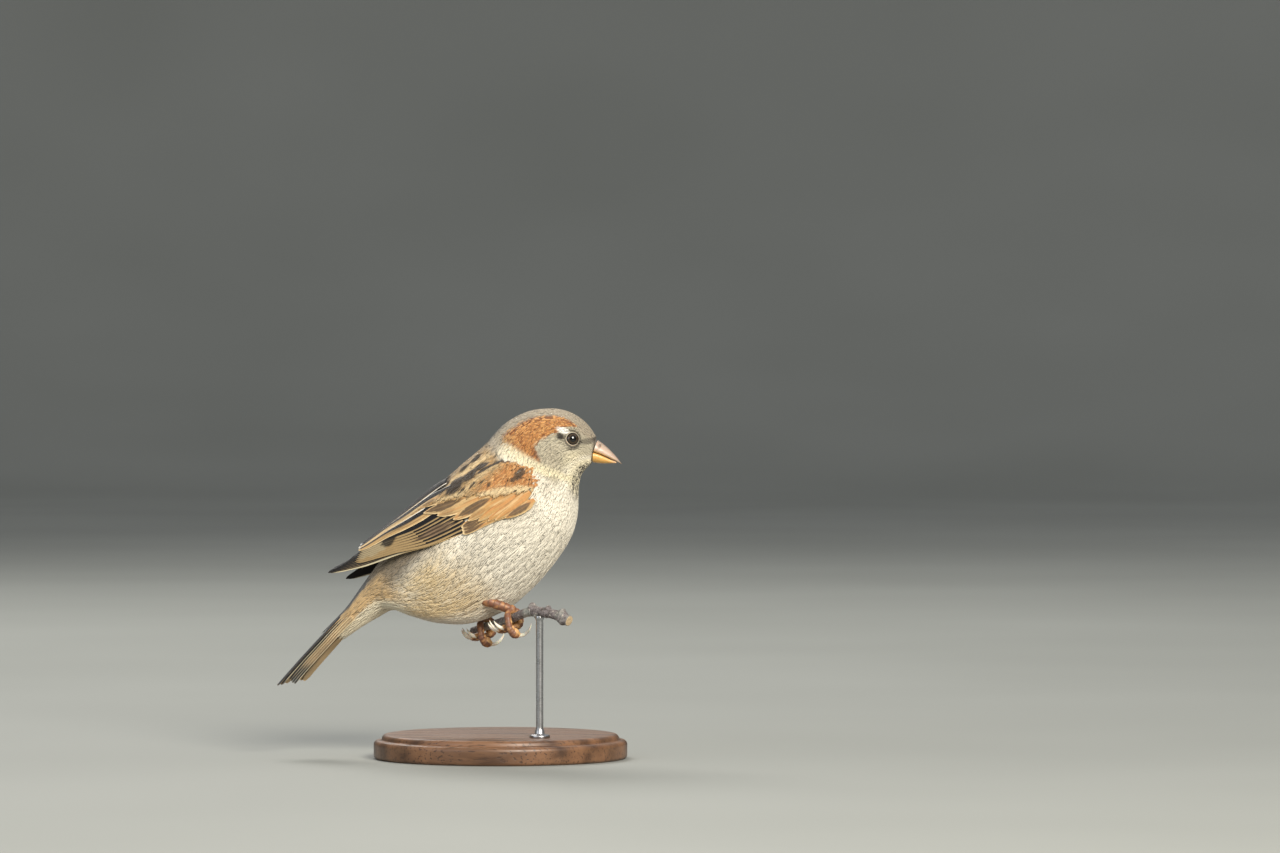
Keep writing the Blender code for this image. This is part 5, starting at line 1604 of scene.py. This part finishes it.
def make_lids(sizes, ink, finish):
    """A beaded bare ring round each eye. Its section is a low arch from the eyeball at the opening to just
    under the skin at the rim, and it is drawn out a little at the front and back corners."""
    turn_count, arch_count = 120, 14
    turn = np.arange(turn_count) * 2 * math.pi / turn_count
    arch = np.arange(arch_count) * 2 * math.pi / arch_count
    th, ar = np.meshgrid(turn, arch, indexing="ij")
    inner, outer = mm(sizes.lid_inner), mm(sizes.lid_outer)
    middle, half = (inner + outer) / 2, (outer - inner) / 2
    corner = np.exp(-((np.sin(th) / 0.3) ** 2))
    across = middle + 0.12 * corner + half * np.cos(ar)
    beads = 0.04 * np.cos(26 * th) * np.clip(np.sin(ar), 0, 1) * ease(-0.9, 0.4, np.cos(ar))
    rise = 0.24 * np.sin(ar) * (1 - 0.25 * np.cos(ar)) + beads
    colour = over(plain(ink.lid, (turn_count, arch_count)), (0.045, 0.032, 0.022),
                  0.92 * ease(-0.3, -0.75, np.cos(ar)))
    colour = over(colour, ink.centre, 0.6 * ease(0.3, 0.8, np.cos(ar)))
    axis = unit(EYE_AXIS)
    forward = unit(np.array((1.0, 0, 0)) - axis[0] * axis)
    upward = np.cross(forward, axis)
    centre = eye_centre(sizes, 1)
    places = np.meshgrid(np.linspace(0.6, 3.4, 260), np.linspace(230, 330, 260), indexing="ij")
    face = skin_form(*(p.ravel() for p in places)) - centre
    level = math.sqrt(mm(sizes.eye_radius) ** 2 - inner**2) + 0.02
    aside = (face @ forward)[None, :] - outer * np.cos(turn)[:, None]
    above = (face @ upward)[None, :] - outer * np.sin(turn)[:, None]
    rim = (face @ axis)[np.argmin(aside**2 + above**2, axis=1)][:, None] - 0.1
    reach = np.clip((across - inner) / (outer - inner), 0, 1)
    out = level + (rim - level) * reach + rise
    k, m = np.meshgrid(np.arange(turn_count), np.arange(arch_count), indexing="ij")
    k2, m2 = (k + 1) % turn_count, (m + 1) % arch_count
    corners = ((k, m), (k2, m), (k2, m2), (k, m2))
    quads = np.stack([row * arch_count + column for row, column in corners], axis=-1).reshape(-1, 4)
    flat = np.stack((across * np.cos(th), across * np.sin(th), out), axis=-1)
    points = centre + flat @ np.array((forward, upward, axis))
    for name, sign in zip(SIDES, (-1, 1)):
        faces = quads[:, ::-1] if sign < 0 else quads
        make_piece("eyelid_" + name, points * (1.0, sign, 1.0), [faces], finish, (), colour)


BALL_RISE = 2.95  # of the ball of the foot over the twig's middle
# Each toe: its claw's length, the radius of the claw's curve, then the toe's middle line and radius.
# The line runs from the ball of the foot, forward, along the twig and up from the twig's middle.
TOES = {
    "inner": (4.8, 3.9, (
        (2.1, -2.2, 2.0, 0.90), (3.0, -3.6, -0.5, 0.92), (2.3, -4.6, -2.6, 0.85),
        (-0.4, -5.3, -3.0, 0.95), (-2.3, -5.8, -3.0, 0.85), (-2.9, -5.95, -2.95, 0.60))),
    "middle": (5.2, 3.9, (
        (2.2, -1.1, 2.1, 0.95), (3.1, -1.9, -0.5, 0.95), (2.4, -2.6, -2.7, 0.90),
        (-0.5, -3.2, -3.1, 1.00), (-2.9, -3.7, -3.05, 0.90), (-3.5, -3.8, -3.0, 0.62))),
    "outer": (4.6, 3.9, (
        (2.1, 0.3, 2.0, 0.90), (3.0, 0.0, -0.5, 0.92), (2.3, -0.5, -2.6, 0.85),
        (-0.4, -1.1, -3.0, 0.95), (-2.5, -1.6, -3.0, 0.85), (-3.1, -1.75, -2.95, 0.60))),
    "hind": (8.2, 5.4, (
        (-2.2, 0.9, 1.6, 0.95), (-3.1, 1.9, -0.9, 1.05), (-3.0, 2.1, -3.4, 1.00),
        (-2.0, 1.9, -5.0, 1.35), (-0.6, 1.7, -5.9, 1.30), (0.1, 1.65, -6.1, 0.80))),
}
FOOT_CENTRES = {"right": np.array((5.8, -10.2, 46.9)), "left": np.array((-5.9, 6.8, 43.2))}
HEELS = {"right": np.array((-9.0, -9.6, 54.4)), "left": np.array((-20.5, 8.6, 53.6))}


def foot_frame(centre):
    """The twig's middle under a foot, and the forward, along-the-twig and upward directions there."""
    path = rows_at(TWIG, np.linspace(0, len(TWIG) - 1, 400))[:, :3]
    nearest = np.argmin(np.linalg.norm(path - centre, axis=1))
    along = unit(path[min(nearest + 4, 399)] - path[max(nearest - 4, 0)])
    forward = -unit(np.cross(along, (0.0, 0.0, 1.0)))
    return path[nearest], forward, along, -np.cross(forward, along)


def scaled_tube(path, radii, sides, step, height, top, ink):
    """A leg or toe with overlapping scales on the side that faces top, each of which rises slowly over its
    length and drops to the next, and round pads on the other. Gives the points and their colours: dark in
    the grooves, brown on the scales and orange on the pads."""
    rows = len(path)
    _, cross, up = path_frames(path)
    facing = math.atan2(dot(up[rows // 2], top), dot(cross[rows // 2], top))
    length = np.linalg.norm(np.diff(path, axis=0), axis=1).sum()

    def sides_of(share, turn):
        wave = np.cos(turn - facing)
        return share * length / step, np.clip(1.3 * wave, 0, 1), np.clip(-1.3 * wave, 0, 1)

    def relief(share, turn):
        run, scaled, padded = sides_of(share, turn)
        saw = (run % 1.0) ** 1.4
        pads = 1.2 * padded * np.abs(np.sin(0.6 * math.pi * run))
        return height * ((saw - 0.5) * scaled**0.5 + pads)

    points = tube_points(path, radii, sides, relief)
    share = np.linspace(0, 1, rows)[:, None] * np.ones((1, sides))
    turn = np.arange(sides) * 2 * math.pi / sides + 0 * share
    run, scaled, padded = sides_of(share, turn)
    cloudy = 0.5 + 0.5 * ripple(points[..., 0], points[..., 1], points[..., 2], 0.8)
    groove = np.maximum(ease(0.24, 0.0, run % 1.0), 0.7 * ease(0.88, 1.0, run % 1.0))
    colour = over(plain(ink.leg, (rows, sides)), ink.pad, 0.55 * ease(0.45, 1.0, cloudy))
    colour = over(colour, ink.pad, 0.9 * padded)
    return points, over(colour, ink.centre, 0.75 * groove * (0.25 + 0.75 * scaled))


def smooth_path(points, count):
    """A Catmull-Rom path through the points, resampled."""
    table = np.asarray(points, float)
    return rows_at(table, np.linspace(0, len(table) - 1, count))


def toe_pads(path, radii, inward, ink):
    """Round pads under a toe, at its joints: short swollen tubes, pressed against the toe."""
    rows = len(path)
    reach = np.linspace(-1, 1, rows)
    swell = np.sqrt(np.clip(1 - reach**2, 0.01, 1))
    made = []
    for at in (0.38, 0.56, 0.74, 0.90):
        k = round(at * (rows - 1))
        way = unit(path[min(k + 2, rows - 1)] - path[k - 2])
        size = 1.12 * radii[k]
        low = inward - dot(inward, way) * way
        line = path[k] + 0.38 * unit(low) + np.outer(reach * size, way)
        points = tube_points(line, swell * size, 16)
        tint = 0.5 + 0.5 * ripple(points[..., 0], points[..., 1], points[..., 2], 0.5)
        made.append((points, over(plain(ink.pad, (rows, 16)), ink.cream, 0.35 * tint)))
    return made


def make_claw(node, root, heading, up, size, horn, ink, radius):
    """A claw bent on a round arc that rises from the toe's end, grooved along its sides."""
    length, curve = size
    inwards = unit(up - dot(up, heading) * heading)
    share = np.linspace(0, 1, 26)
    bend = share * length / curve
    path = root + np.outer(curve * np.sin(bend), heading) + np.outer(curve * (1 - np.cos(bend)), inwards)

    def groove(along, turn):
        return -0.09 * (1 - along) * np.exp(-((np.cos(turn) / 0.35) ** 2))

    points = tube_points(path, radius * (1 - 0.92 * share**2), 14, groove)
    colour = over(plain(ink.claw, (26, 14)), ink.bill_tip, 0.35 * share[:, None] ** 5)
    make_piece(node, points, tube_faces(26, 14), horn, (node,), colour)


def make_legs(sizes, ink, scute, horn):
    """Feet, tarsi and claws: scaled tubes along each toe's line, with pads below."""
    rows, sides = 64, 16
    thickness = mm(sizes.toe_radius) / 0.95
    for foot, centre in FOOT_CENTRES.items():
        middle, forward, along, up = foot_frame(centre)
        axes = np.array((forward, along, up))
        ball, heel = middle + up * BALL_RISE, HEELS[foot]
        blocks = []
        for name, (claw_length, claw_curve, line) in TOES.items():
            fine = smooth_path(((0.0, 0.0, BALL_RISE, line[0][3]), *line), rows)
            path = middle + fine[:, :3] @ axes
            share = np.linspace(0, 1, rows)
            radii = thickness * fine[:, 3] * (1 + 0.05 * np.cos(share * 4 * 2 * math.pi))
            radii[-4:] *= np.array((0.95, 0.85, 0.65, 0.35))
            top = unit(path[rows // 2] - middle)
            blocks.append(scaled_tube(path, radii, sides, 1.0, 0.14, top, ink))
            blocks += toe_pads(path, radii, -top, ink)
            heading = unit(path[-1] - path[-4])
            make_claw(f"claw_{foot}_{name}", path[-1] - heading * 0.4, heading, up, (claw_length, claw_curve),
                      horn, ink, mm(sizes.claw_radius))
        # The ball of the foot, and the tarsus that rises from it into the belly feathers.
        lift = unit(heel - ball)
        reach = np.linspace(-1, 1, rows)
        swell = 1.5 * np.sqrt(np.clip(1 - reach**2, 0.02, 1))
        blocks.append(scaled_tube(ball + np.outer(1.5 * reach, lift), swell, sides, 1.0, 0.1, up, ink))
        points = np.array([block[0] for block in blocks])
        colours = np.array([block[1] for block in blocks])
        faces = [repeated(f, rows * sides, len(blocks)) for f in tube_faces(rows, sides)]
        make_piece("foot_" + foot, points, faces, scute, ("foot_" + foot,), colours)
        path = smooth_path((ball + 0.6 * lift, (ball + heel) / 2, heel), 120)
        share = np.linspace(0, 1, 120)
        radii = mm(sizes.tarsus_radius) * knots(share, (0, 0.85), (0.15, 0.98), (0.5, 1.0), (1, 1.25))
        shin, colour = scaled_tube(path, radii, 24, 1.9, 0.2, 0.7 * up - forward, ink)
        make_piece("tarsus_" + foot, shin, tube_faces(120, 24), scute, ("tarsus_" + foot,), colour)


def tail_paint(ink, number):
    """Upper strip of the tail slate black with a pale line under it, then buff webs with fine dark lines,
    the outermost cream at its rim, and all with dark tips."""

    def paint(share, place):
        colour = plain(ink.tail, share.shape)
        buff = (0.0, 0.0, 0.9, 0.9, 0.95, 0.95)[number]
        wide = (0.1, 0.2, 0.40, 2.2, 2.2, 2.2)[number]
        last = 0.97 - 0.03 * number
        web = 1 - ease(last - 0.22, last, share + 0.1 * np.abs(place))
        web = web * ease(1 - wide, 1 - wide + 0.08, place)
        cloudy = 0.88 + 0.12 * grain(6 * place, 3 * share, number)
        colour = over(colour, ink.tail_edge, buff * web * cloudy)
        lines = ease(0.2, 0.7, grain(11 * place + 2 * share, 2 * share, number + 9))
        colour = over(colour, ink.centre, 0.75 * web * lines * (number > 1))
        rim = ease(0.88, 0.96, place) * (1 - ease(0.86, 1.0, share))
        colour = over(colour, ink.collar, rim * (0.8 if number in (1, 5) else 0.5) * (number > 0))
        colour = over(colour, ink.tail, 0.8 * np.exp(-(((place - 0.8) / 0.05) ** 2)) * (number > 1))
        return over(colour, ink.crown, 0.5 * ease(0.97, 0.995, share))

    return paint


def make_tail(sizes, ink, finish, rng):
    """Twelve tail feathers in a low tent: flat blades on straight shafts, the outer ones lower, shorter and
    splayed, whose tips droop by 0.9 mm times share^2."""
    root0 = np.array((-52.5, 0.0, 44.9))
    axis0, back = np.array((-0.70, 0.0, -0.714)), np.array((-0.714, 0.0, 0.70))
    slope = math.radians(11)
    vanes = Vanes(50, 17)
    s = towards_tip(vanes.rows, -0.22)
    u = spread_columns(vanes.columns)
    for side, sign in zip(SIDES, (-1, 1)):
        outwards = np.array((0.0, sign, 0.0))
        across_way = math.cos(slope) * outwards - math.sin(slope) * back
        face = math.sin(slope) * outwards + math.cos(slope) * back
        for number in range(6):
            step = 0.9 * across_way - 0.66 * face + 0.25 * axis0
            root = root0 + outwards * 2.95 + 1.9 * back + number * step
            axis = unit(axis0 + 0.012 * number * outwards)
            length = mm(sizes.tail_length) - (0.0, 1.6, 5.2, 5.6, 5.9, 6.6)[number]
            outline = blade_outline(np.clip(s, 0, 1), 0.88, 0.45) * (0.75 + 0.25 * ease(0, 0.4, s))
            width = mm(sizes.tail_width) * np.where(u > 0, 0.42, 0.58)[None, :] * outline[:, None]
            width = width * (1 + rng.normal(0, 0.015, width.shape) * (np.abs(u) > 0.98))
            across = u[None, :] * width
            run = s[:, None] * length * np.ones_like(u)[None, :]
            arch = -0.28 * u[None, :] ** 2 + 0.11 * np.exp(-(((u - 0.05) / 0.06) ** 2))[None, :]
            droop = -0.9 * np.clip(s, 0, 1)[:, None] ** 2
            top = root + run[..., None] * axis + across[..., None] * across_way + arch[..., None] * face
            top = top + droop[..., None] * back
            normal = np.broadcast_to(face, top.shape)
            thick = 0.2 * (1 - 0.8 * np.abs(u) ** 3)[None, :] * np.ones_like(run)
            share, place = np.meshgrid(s, u, indexing="ij")
            colour = tail_paint(ink, number)(share, place)
            if sign > 0:
                top, normal, colour, across = (v[:, ::-1] for v in (top, normal, colour, across))
            vanes.add(top, normal, thick, colour, run, across, over(colour, ink.tail_edge, 0.75))
    nodes = [f"tail_feather_{side}_{n}" for side in SIDES for n in range(1, 7)]
    vanes.finish("tail_feathers", finish, "quill", nodes)


# ---- Twig and stand -----------------------------------------------------------------------------


def make_twig(finish):
    """The cut twig: a tube along its bent path with knobs, buds' scars and uneven bark, whose two ends
    close over a slightly domed saw cut that shows the wood."""
    rows, sides = 320, 48
    place = np.linspace(0, len(TWIG) - 1, rows)
    line = rows_at(TWIG, place)
    length = np.linalg.norm(np.diff(TWIG[:, :3], axis=0), axis=1).sum()

    def bark(share, turn):
        total = 0.05 * ripple(share * length, 3 * np.cos(turn), 3 * np.sin(turn), 0.9)
        total = total + 0.06 * ripple(share * length, 5 * np.cos(turn), 5 * np.sin(turn), 2.6, 4.0)
        for at, direction, height, reach in TWIG_KNOBS:
            near = np.exp(-(((share - at) * length / reach) ** 2))
            facing = np.clip(np.cos(turn - math.radians(direction)), 0, 1) ** 2
            collar = 0.16 * np.exp(-(((share - at) * length / (0.6 * reach)) ** 2))
            rings = collar * np.cos((share - at) * length * 5)
            total = total + height * near * facing + rings * (1 - facing)
        return total

    rings = tube_points(line[:, :3], line[:, 3], sides, bark)
    ends = []
    tangent, _, _ = path_frames(line[:, :3])
    for ring, way in ((rings[0], -tangent[0]), (rings[-1], tangent[-1])):
        centre = ring.mean(axis=0)
        dome = (0.94, 0.10), (0.9, 0.12), (0.45, 0.15), (0.05, 0.16)
        ends.append([centre + (ring - centre) * r + way * d for r, d in dome])
    points = np.concatenate((np.array(ends[0][::-1]), rings, np.array(ends[1])))
    wood = np.zeros((len(points), sides, 3))
    wood[:3, :, 0] = 1
    wood[-3:, :, 0] = 1
    faces = tube_faces(len(points), sides)
    make_piece("perch_twig", points, faces, finish, ("perch_twig",), wood)


def turned(name, profile, sides, centre, finish):
    """A lathe piece: a closed profile of (radius, height) points carried round an upright axis. It starts
    and ends near the axis, where small rings close it."""
    profile = np.asarray(profile, float)
    turn = np.arange(sides) * 2 * math.pi / sides
    x, y = centre[0] + profile[:, :1] * np.cos(turn), centre[1] + profile[:, :1] * np.sin(turn)
    points = np.stack((x, y, profile[:, 1:] * np.ones_like(turn)), axis=-1)
    make_piece(name, points, tube_faces(len(profile), sides), finish, (name,))


def arc(centre, radius, start, end, count):
    turn = np.radians(np.linspace(start, end, count))
    return [(centre[0] + radius * math.cos(t), centre[1] + radius * math.sin(t)) for t in turn]


def make_stand(sizes, walnut, steel):
    """A turned round base with a soft edge and a shallow bead, and a rod in a small collar."""
    r, h = mm(sizes.base_radius), mm(sizes.base_height)
    profile = [(0.4, 0.0), (r - 1.4, 0.0)] + arc((r - 1.2, 1.2), 1.2, -80, 0, 7) + [(r, 4.2)]
    profile += arc((r - 1.5, 4.6), 1.5, 0, 70, 6) + [(r - 2.2, 6.1), (r - 2.6, 6.3)]
    profile += arc((r - 4.2, h - 1.5), 1.5, 0, 88, 9) + [(r - 8, h), (r * 0.5, h), (0.4, h)]
    turned("stand_base", profile, 160, (0, 0), walnut)
    at = rows_at(TWIG, 6.55)[0]
    rod = mm(sizes.rod_radius)
    top = at[2] - at[3] + 0.35
    profile = [(0.1, h - 0.6), (3.3, h - 0.6), (3.4, h + 0.5)] + arc((2.9, h + 0.6), 0.5, 0, 90, 5)
    profile += [(1.9, h + 1.15), (1.6, h + 1.5), (1.55, h + 2.6), (rod + 0.05, h + 2.9), (rod, h + 3.1)]
    profile += [(rod, z) for z in np.linspace(h + 4, top - 1.6, 12)]
    profile += [(rod + 0.02, top - 1.5), (rod + 0.25, top - 1.2), (rod + 0.3, top - 0.3)]
    profile += [(rod + 0.1, top), (0.1, top)]
    turned("stand_rod", profile, 40, (at[0], at[1]), steel)


# ---- Stage --------------------------------------------------------------------------------------


def stage_material():
    material, tree, shader = new_material("Pale floor", Roughness=0.75)
    tone = spread(tree, noise(tree, object_coordinates(tree), 3.0, 2.0), 0.3, 0.7)
    feed(tree, shader, Base_Color=blend_colours(tree, tone, (0.245, 0.255, 0.235), (0.275, 0.285, 0.265)))
    return material


def make_backdrop():
    """A seamless round sweep: a floor that turns up through a quarter circle into a wall on every side, wide
    enough that a camera looks out from inside it whichever way the bird is seen."""
    floor, bend, top = 2.8, 1.5, 2.2
    turn = np.linspace(0, math.pi / 2, 20)
    radius = np.concatenate(([0.02, 0.5, 1.5], floor + bend * np.sin(turn), [floor + bend]))
    height = np.concatenate(([0, 0, 0], bend - bend * np.cos(turn), [top]))
    around = np.arange(96) * 2 * math.pi / 96
    x, y = radius[:, None] * np.cos(around), radius[:, None] * np.sin(around)
    points = np.stack((x, y, height[:, None] * np.ones_like(x)), axis=-1).reshape(-1, 3)
    mesh = bpy.data.meshes.new("backdrop")
    faces = [tuple(range(96)), *grid_faces(len(radius), 96)[:, ::-1].tolist()]
    mesh.from_pydata(points.tolist(), [], faces)
    mesh.polygons.foreach_set("use_smooth", np.ones(len(mesh.polygons), bool))
    mesh.materials.append(stage_material())
    drop = bpy.data.objects.new("backdrop", mesh)
    bpy.context.scene.collection.objects.link(drop)


def aim(thing, target):
    direction = np.asarray(target, float) - np.array(thing.location)
    thing.rotation_euler = Vector(direction).to_track_quat("-Z", "Y").to_euler()


def area_light(name, place, target, size, watts, tint):
    light = bpy.data.lights.new(name, "AREA")
    light.shape = "RECTANGLE"
    light.size, light.size_y = size
    light.energy = watts
    light.color = tint
    lamp = bpy.data.objects.new(name, light)
    bpy.context.scene.collection.objects.link(lamp)
    lamp.location = place
    aim(lamp, target)


class StageSettings(bpy.types.PropertyGroup):
    """The camera's place and the strength of the light."""

    distance: FloatProperty(name="Camera distance", description="From the camera to the bird", default=2.5,
                            min=0.5, subtype="DISTANCE", unit="LENGTH")
    azimuth: FloatProperty(name="Camera azimuth", description="Turn of the view towards the bird's front",
                           default=math.radians(8), subtype="ANGLE", unit="ROTATION")
    key: FloatProperty(name="Key light", description="Strength of the main light in watts",
                       default=50.0, min=0)
    fill: FloatProperty(name="Fill light", description="Strength of the soft light in watts",
                        default=8.0, min=0)
    rim: FloatProperty(name="Rim light", description="Strength of the light from behind in watts",
                       default=14.0, min=0)
    world: FloatProperty(name="Surroundings", description="Strength of the light from all round",
                         default=0.48, min=0)


# ---- Operators ----------------------------------------------------------------------------------


def draws(offset):
    return np.random.default_rng(bpy.context.scene.sparrow_sizes.seed + offset)


class SPARROW_OT_skin(bpy.types.Operator):
    """Make the skin that stands for the head, neck, trunk and tail coverts"""

    bl_idname = "sparrow.skin"
    bl_label = "Skin"

    def execute(self, context):
        make_skin(context.scene.sparrow_sizes, context.scene.sparrow_inks, shaders()["down"])
        return {"FINISHED"}


class SPARROW_OT_coat(bpy.types.Operator):
    """Make the contour feathers of the face, head, body and tail root"""

    bl_idname = "sparrow.coat"
    bl_label = "Body feathers"

    def execute(self, context):
        sizes, ink, finish = context.scene.sparrow_sizes, context.scene.sparrow_inks, shaders()["down"]
        rng = draws(1)
        face = face_fans(sizes, rng)
        coat = {"face": face, **body_fans(sizes, rng)}
        for name, fans in coat.items():
            colours = coat_colours(fans, ink, rng, plumage_colour)
            chosen = clear_of_eye(fans, sizes)
            side = mirror_sign(fans["root_angle"])
            for label, sign in zip(SIDES, (1, -1)):
                half = chosen & (side == sign)
                coat_piece(f"coat_{name}_{label}", fans, half, colours, finish)
        return {"FINISHED"}


class SPARROW_OT_wings(bpy.types.Operator):
    """Make both folded wings: flight feathers, coverts and scapulars"""

    bl_idname = "sparrow.wings"
    bl_label = "Wings"

    def execute(self, context):
        sizes, ink, finish = context.scene.sparrow_sizes, context.scene.sparrow_inks, shaders()
        for label, side in zip(SIDES, (1, -1)):
            rng = draws(2 + side)
            name = "wing_" + label
            make_flight_feathers(name, side, ink, finish["quill"], rng)
            make_wing_coverts(name, side, ink, finish["covert"], rng)
            fans = shoulder_fans(sizes, rng, side)
            colours = coat_colours(fans, ink, rng, wing_colour)
            everything = np.ones(len(fans["points"]), bool)
            coat_piece(f"shoulder_{label}", fans, everything, colours, finish["down"])
        return {"FINISHED"}


class SPARROW_OT_tail(bpy.types.Operator):
    """Make the twelve tail feathers"""

    bl_idname = "sparrow.tail"
    bl_label = "Tail"

    def execute(self, context):
        make_tail(context.scene.sparrow_sizes, context.scene.sparrow_inks, shaders()["quill"], draws(6))
        return {"FINISHED"}


class SPARROW_OT_bill(bpy.types.Operator):
    """Make the upper and lower mandible"""

    bl_idname = "sparrow.bill"
    bl_label = "Bill"

    def execute(self, context):
        ink, horn = context.scene.sparrow_inks, shaders()["horn"]
        make_mandible("bill_upper", UPPER_BILL, ink, horn)
        make_mandible("bill_lower", LOWER_BILL, ink, horn)
        return {"FINISHED"}


class SPARROW_OT_eyes(bpy.types.Operator):
    """Make the eyes and the bare rings round them"""

    bl_idname = "sparrow.eyes"
    bl_label = "Eyes"

    def execute(self, context):
        sizes, finish = context.scene.sparrow_sizes, shaders()
        for label, sign in zip(SIDES, (-1, 1)):
            make_eye("eye_" + label, sizes, sign, finish["eye"])
        make_lids(sizes, context.scene.sparrow_inks, finish["scute"])
        return {"FINISHED"}


class SPARROW_OT_legs(bpy.types.Operator):
    """Make the feet, tarsi and claws"""

    bl_idname = "sparrow.legs"
    bl_label = "Legs"

    def execute(self, context):
        finish = shaders()
        make_legs(context.scene.sparrow_sizes, context.scene.sparrow_inks, finish["scute"], finish["horn"])
        return {"FINISHED"}


class SPARROW_OT_perch(bpy.types.Operator):
    """Make the twig that the bird grips, and the stand that holds it"""

    bl_idname = "sparrow.perch"
    bl_label = "Twig and stand"

    def execute(self, context):
        finish = shaders()
        make_twig(finish["bark"])
        make_stand(context.scene.sparrow_sizes, finish["walnut"], finish["steel"])
        return {"FINISHED"}


class SPARROW_OT_stage(bpy.types.Operator):
    """Make the floor, the lights and the camera"""

    bl_idname = "sparrow.stage"
    bl_label = "Stage"

    def execute(self, context):
        stage = context.scene.sparrow_stage
        make_backdrop()
        middle = (0.0, 0.0, 0.075)
        area_light("key", (0.85, -1.35, 1.0), middle, (0.7, 0.7), stage.key, (1.0, 0.94, 0.84))
        area_light("fill", (-1.2, -1.3, 0.7), middle, (1.2, 0.9), stage.fill, (0.88, 0.94, 1.0))
        area_light("rim", (-0.5, 1.0, 1.1), middle, (0.8, 0.5), stage.rim, (1.0, 0.97, 0.92))
        world = bpy.data.worlds.new("Soft room")
        world.use_nodes = True
        background = world.node_tree.nodes["Background"]
        background.inputs["Color"].default_value = (0.93, 0.95, 1.0, 1)
        background.inputs["Strength"].default_value = stage.world
        context.scene.world = world
        camera = bpy.data.cameras.new("camera")
        camera.sensor_width = 36.0
        target = np.array((46.65, 0.0, 110.0)) * MM
        turn = stage.azimuth
        back = np.array((math.sin(turn), -math.cos(turn), 0.0218))
        frame_width = 1280 * 0.33 * MM
        camera.lens = camera.sensor_width * stage.distance / frame_width
        camera.clip_start, camera.clip_end = 0.05, 30
        holder = bpy.data.objects.new("camera", camera)
        context.scene.collection.objects.link(holder)
        holder.location = target + back * stage.distance
        aim(holder, target)
        context.scene.camera = holder
        context.scene.view_settings.view_transform = "Standard"
        return {"FINISHED"}


STEPS = (
    SPARROW_OT_skin,
    SPARROW_OT_coat,
    SPARROW_OT_wings,
    SPARROW_OT_tail,
    SPARROW_OT_bill,
    SPARROW_OT_eyes,
    SPARROW_OT_legs,
    SPARROW_OT_perch,
    SPARROW_OT_stage,
)


class SPARROW_PT_panel(bpy.types.Panel):
    """Lists the sparrow's pieces in the sidebar"""

    bl_idname = "SPARROW_PT_panel"
    bl_label = "House sparrow"
    bl_space_type = "VIEW_3D"
    bl_region_type = "UI"
    bl_category = "Sparrow"

    def draw(self, context):
        for step in STEPS:
            self.layout.operator(step.bl_idname)
        for group in (context.scene.sparrow_sizes, context.scene.sparrow_inks, context.scene.sparrow_stage):
            for key in group.bl_rna.properties.keys():
                if key not in ("rna_type", "name"):
                    self.layout.prop(group, key)


CLASSES = (SparrowInks, SparrowSizes, StageSettings, *STEPS, SPARROW_PT_panel)


def register():
    for each in CLASSES:
        bpy.utils.register_class(each)
    bpy.types.Scene.sparrow_inks = PointerProperty(type=SparrowInks)
    bpy.types.Scene.sparrow_sizes = PointerProperty(type=SparrowSizes)
    bpy.types.Scene.sparrow_stage = PointerProperty(type=StageSettings)


def unregister():
    del bpy.types.Scene.sparrow_inks
    del bpy.types.Scene.sparrow_sizes
    del bpy.types.Scene.sparrow_stage
    for each in reversed(CLASSES):
        bpy.utils.unregister_class(each)


def main():
    register()
    for step in STEPS:
        family, action = step.bl_idname.split(".")
        getattr(getattr(bpy.ops, family), action)()


if __name__ == "__main__":
    main()
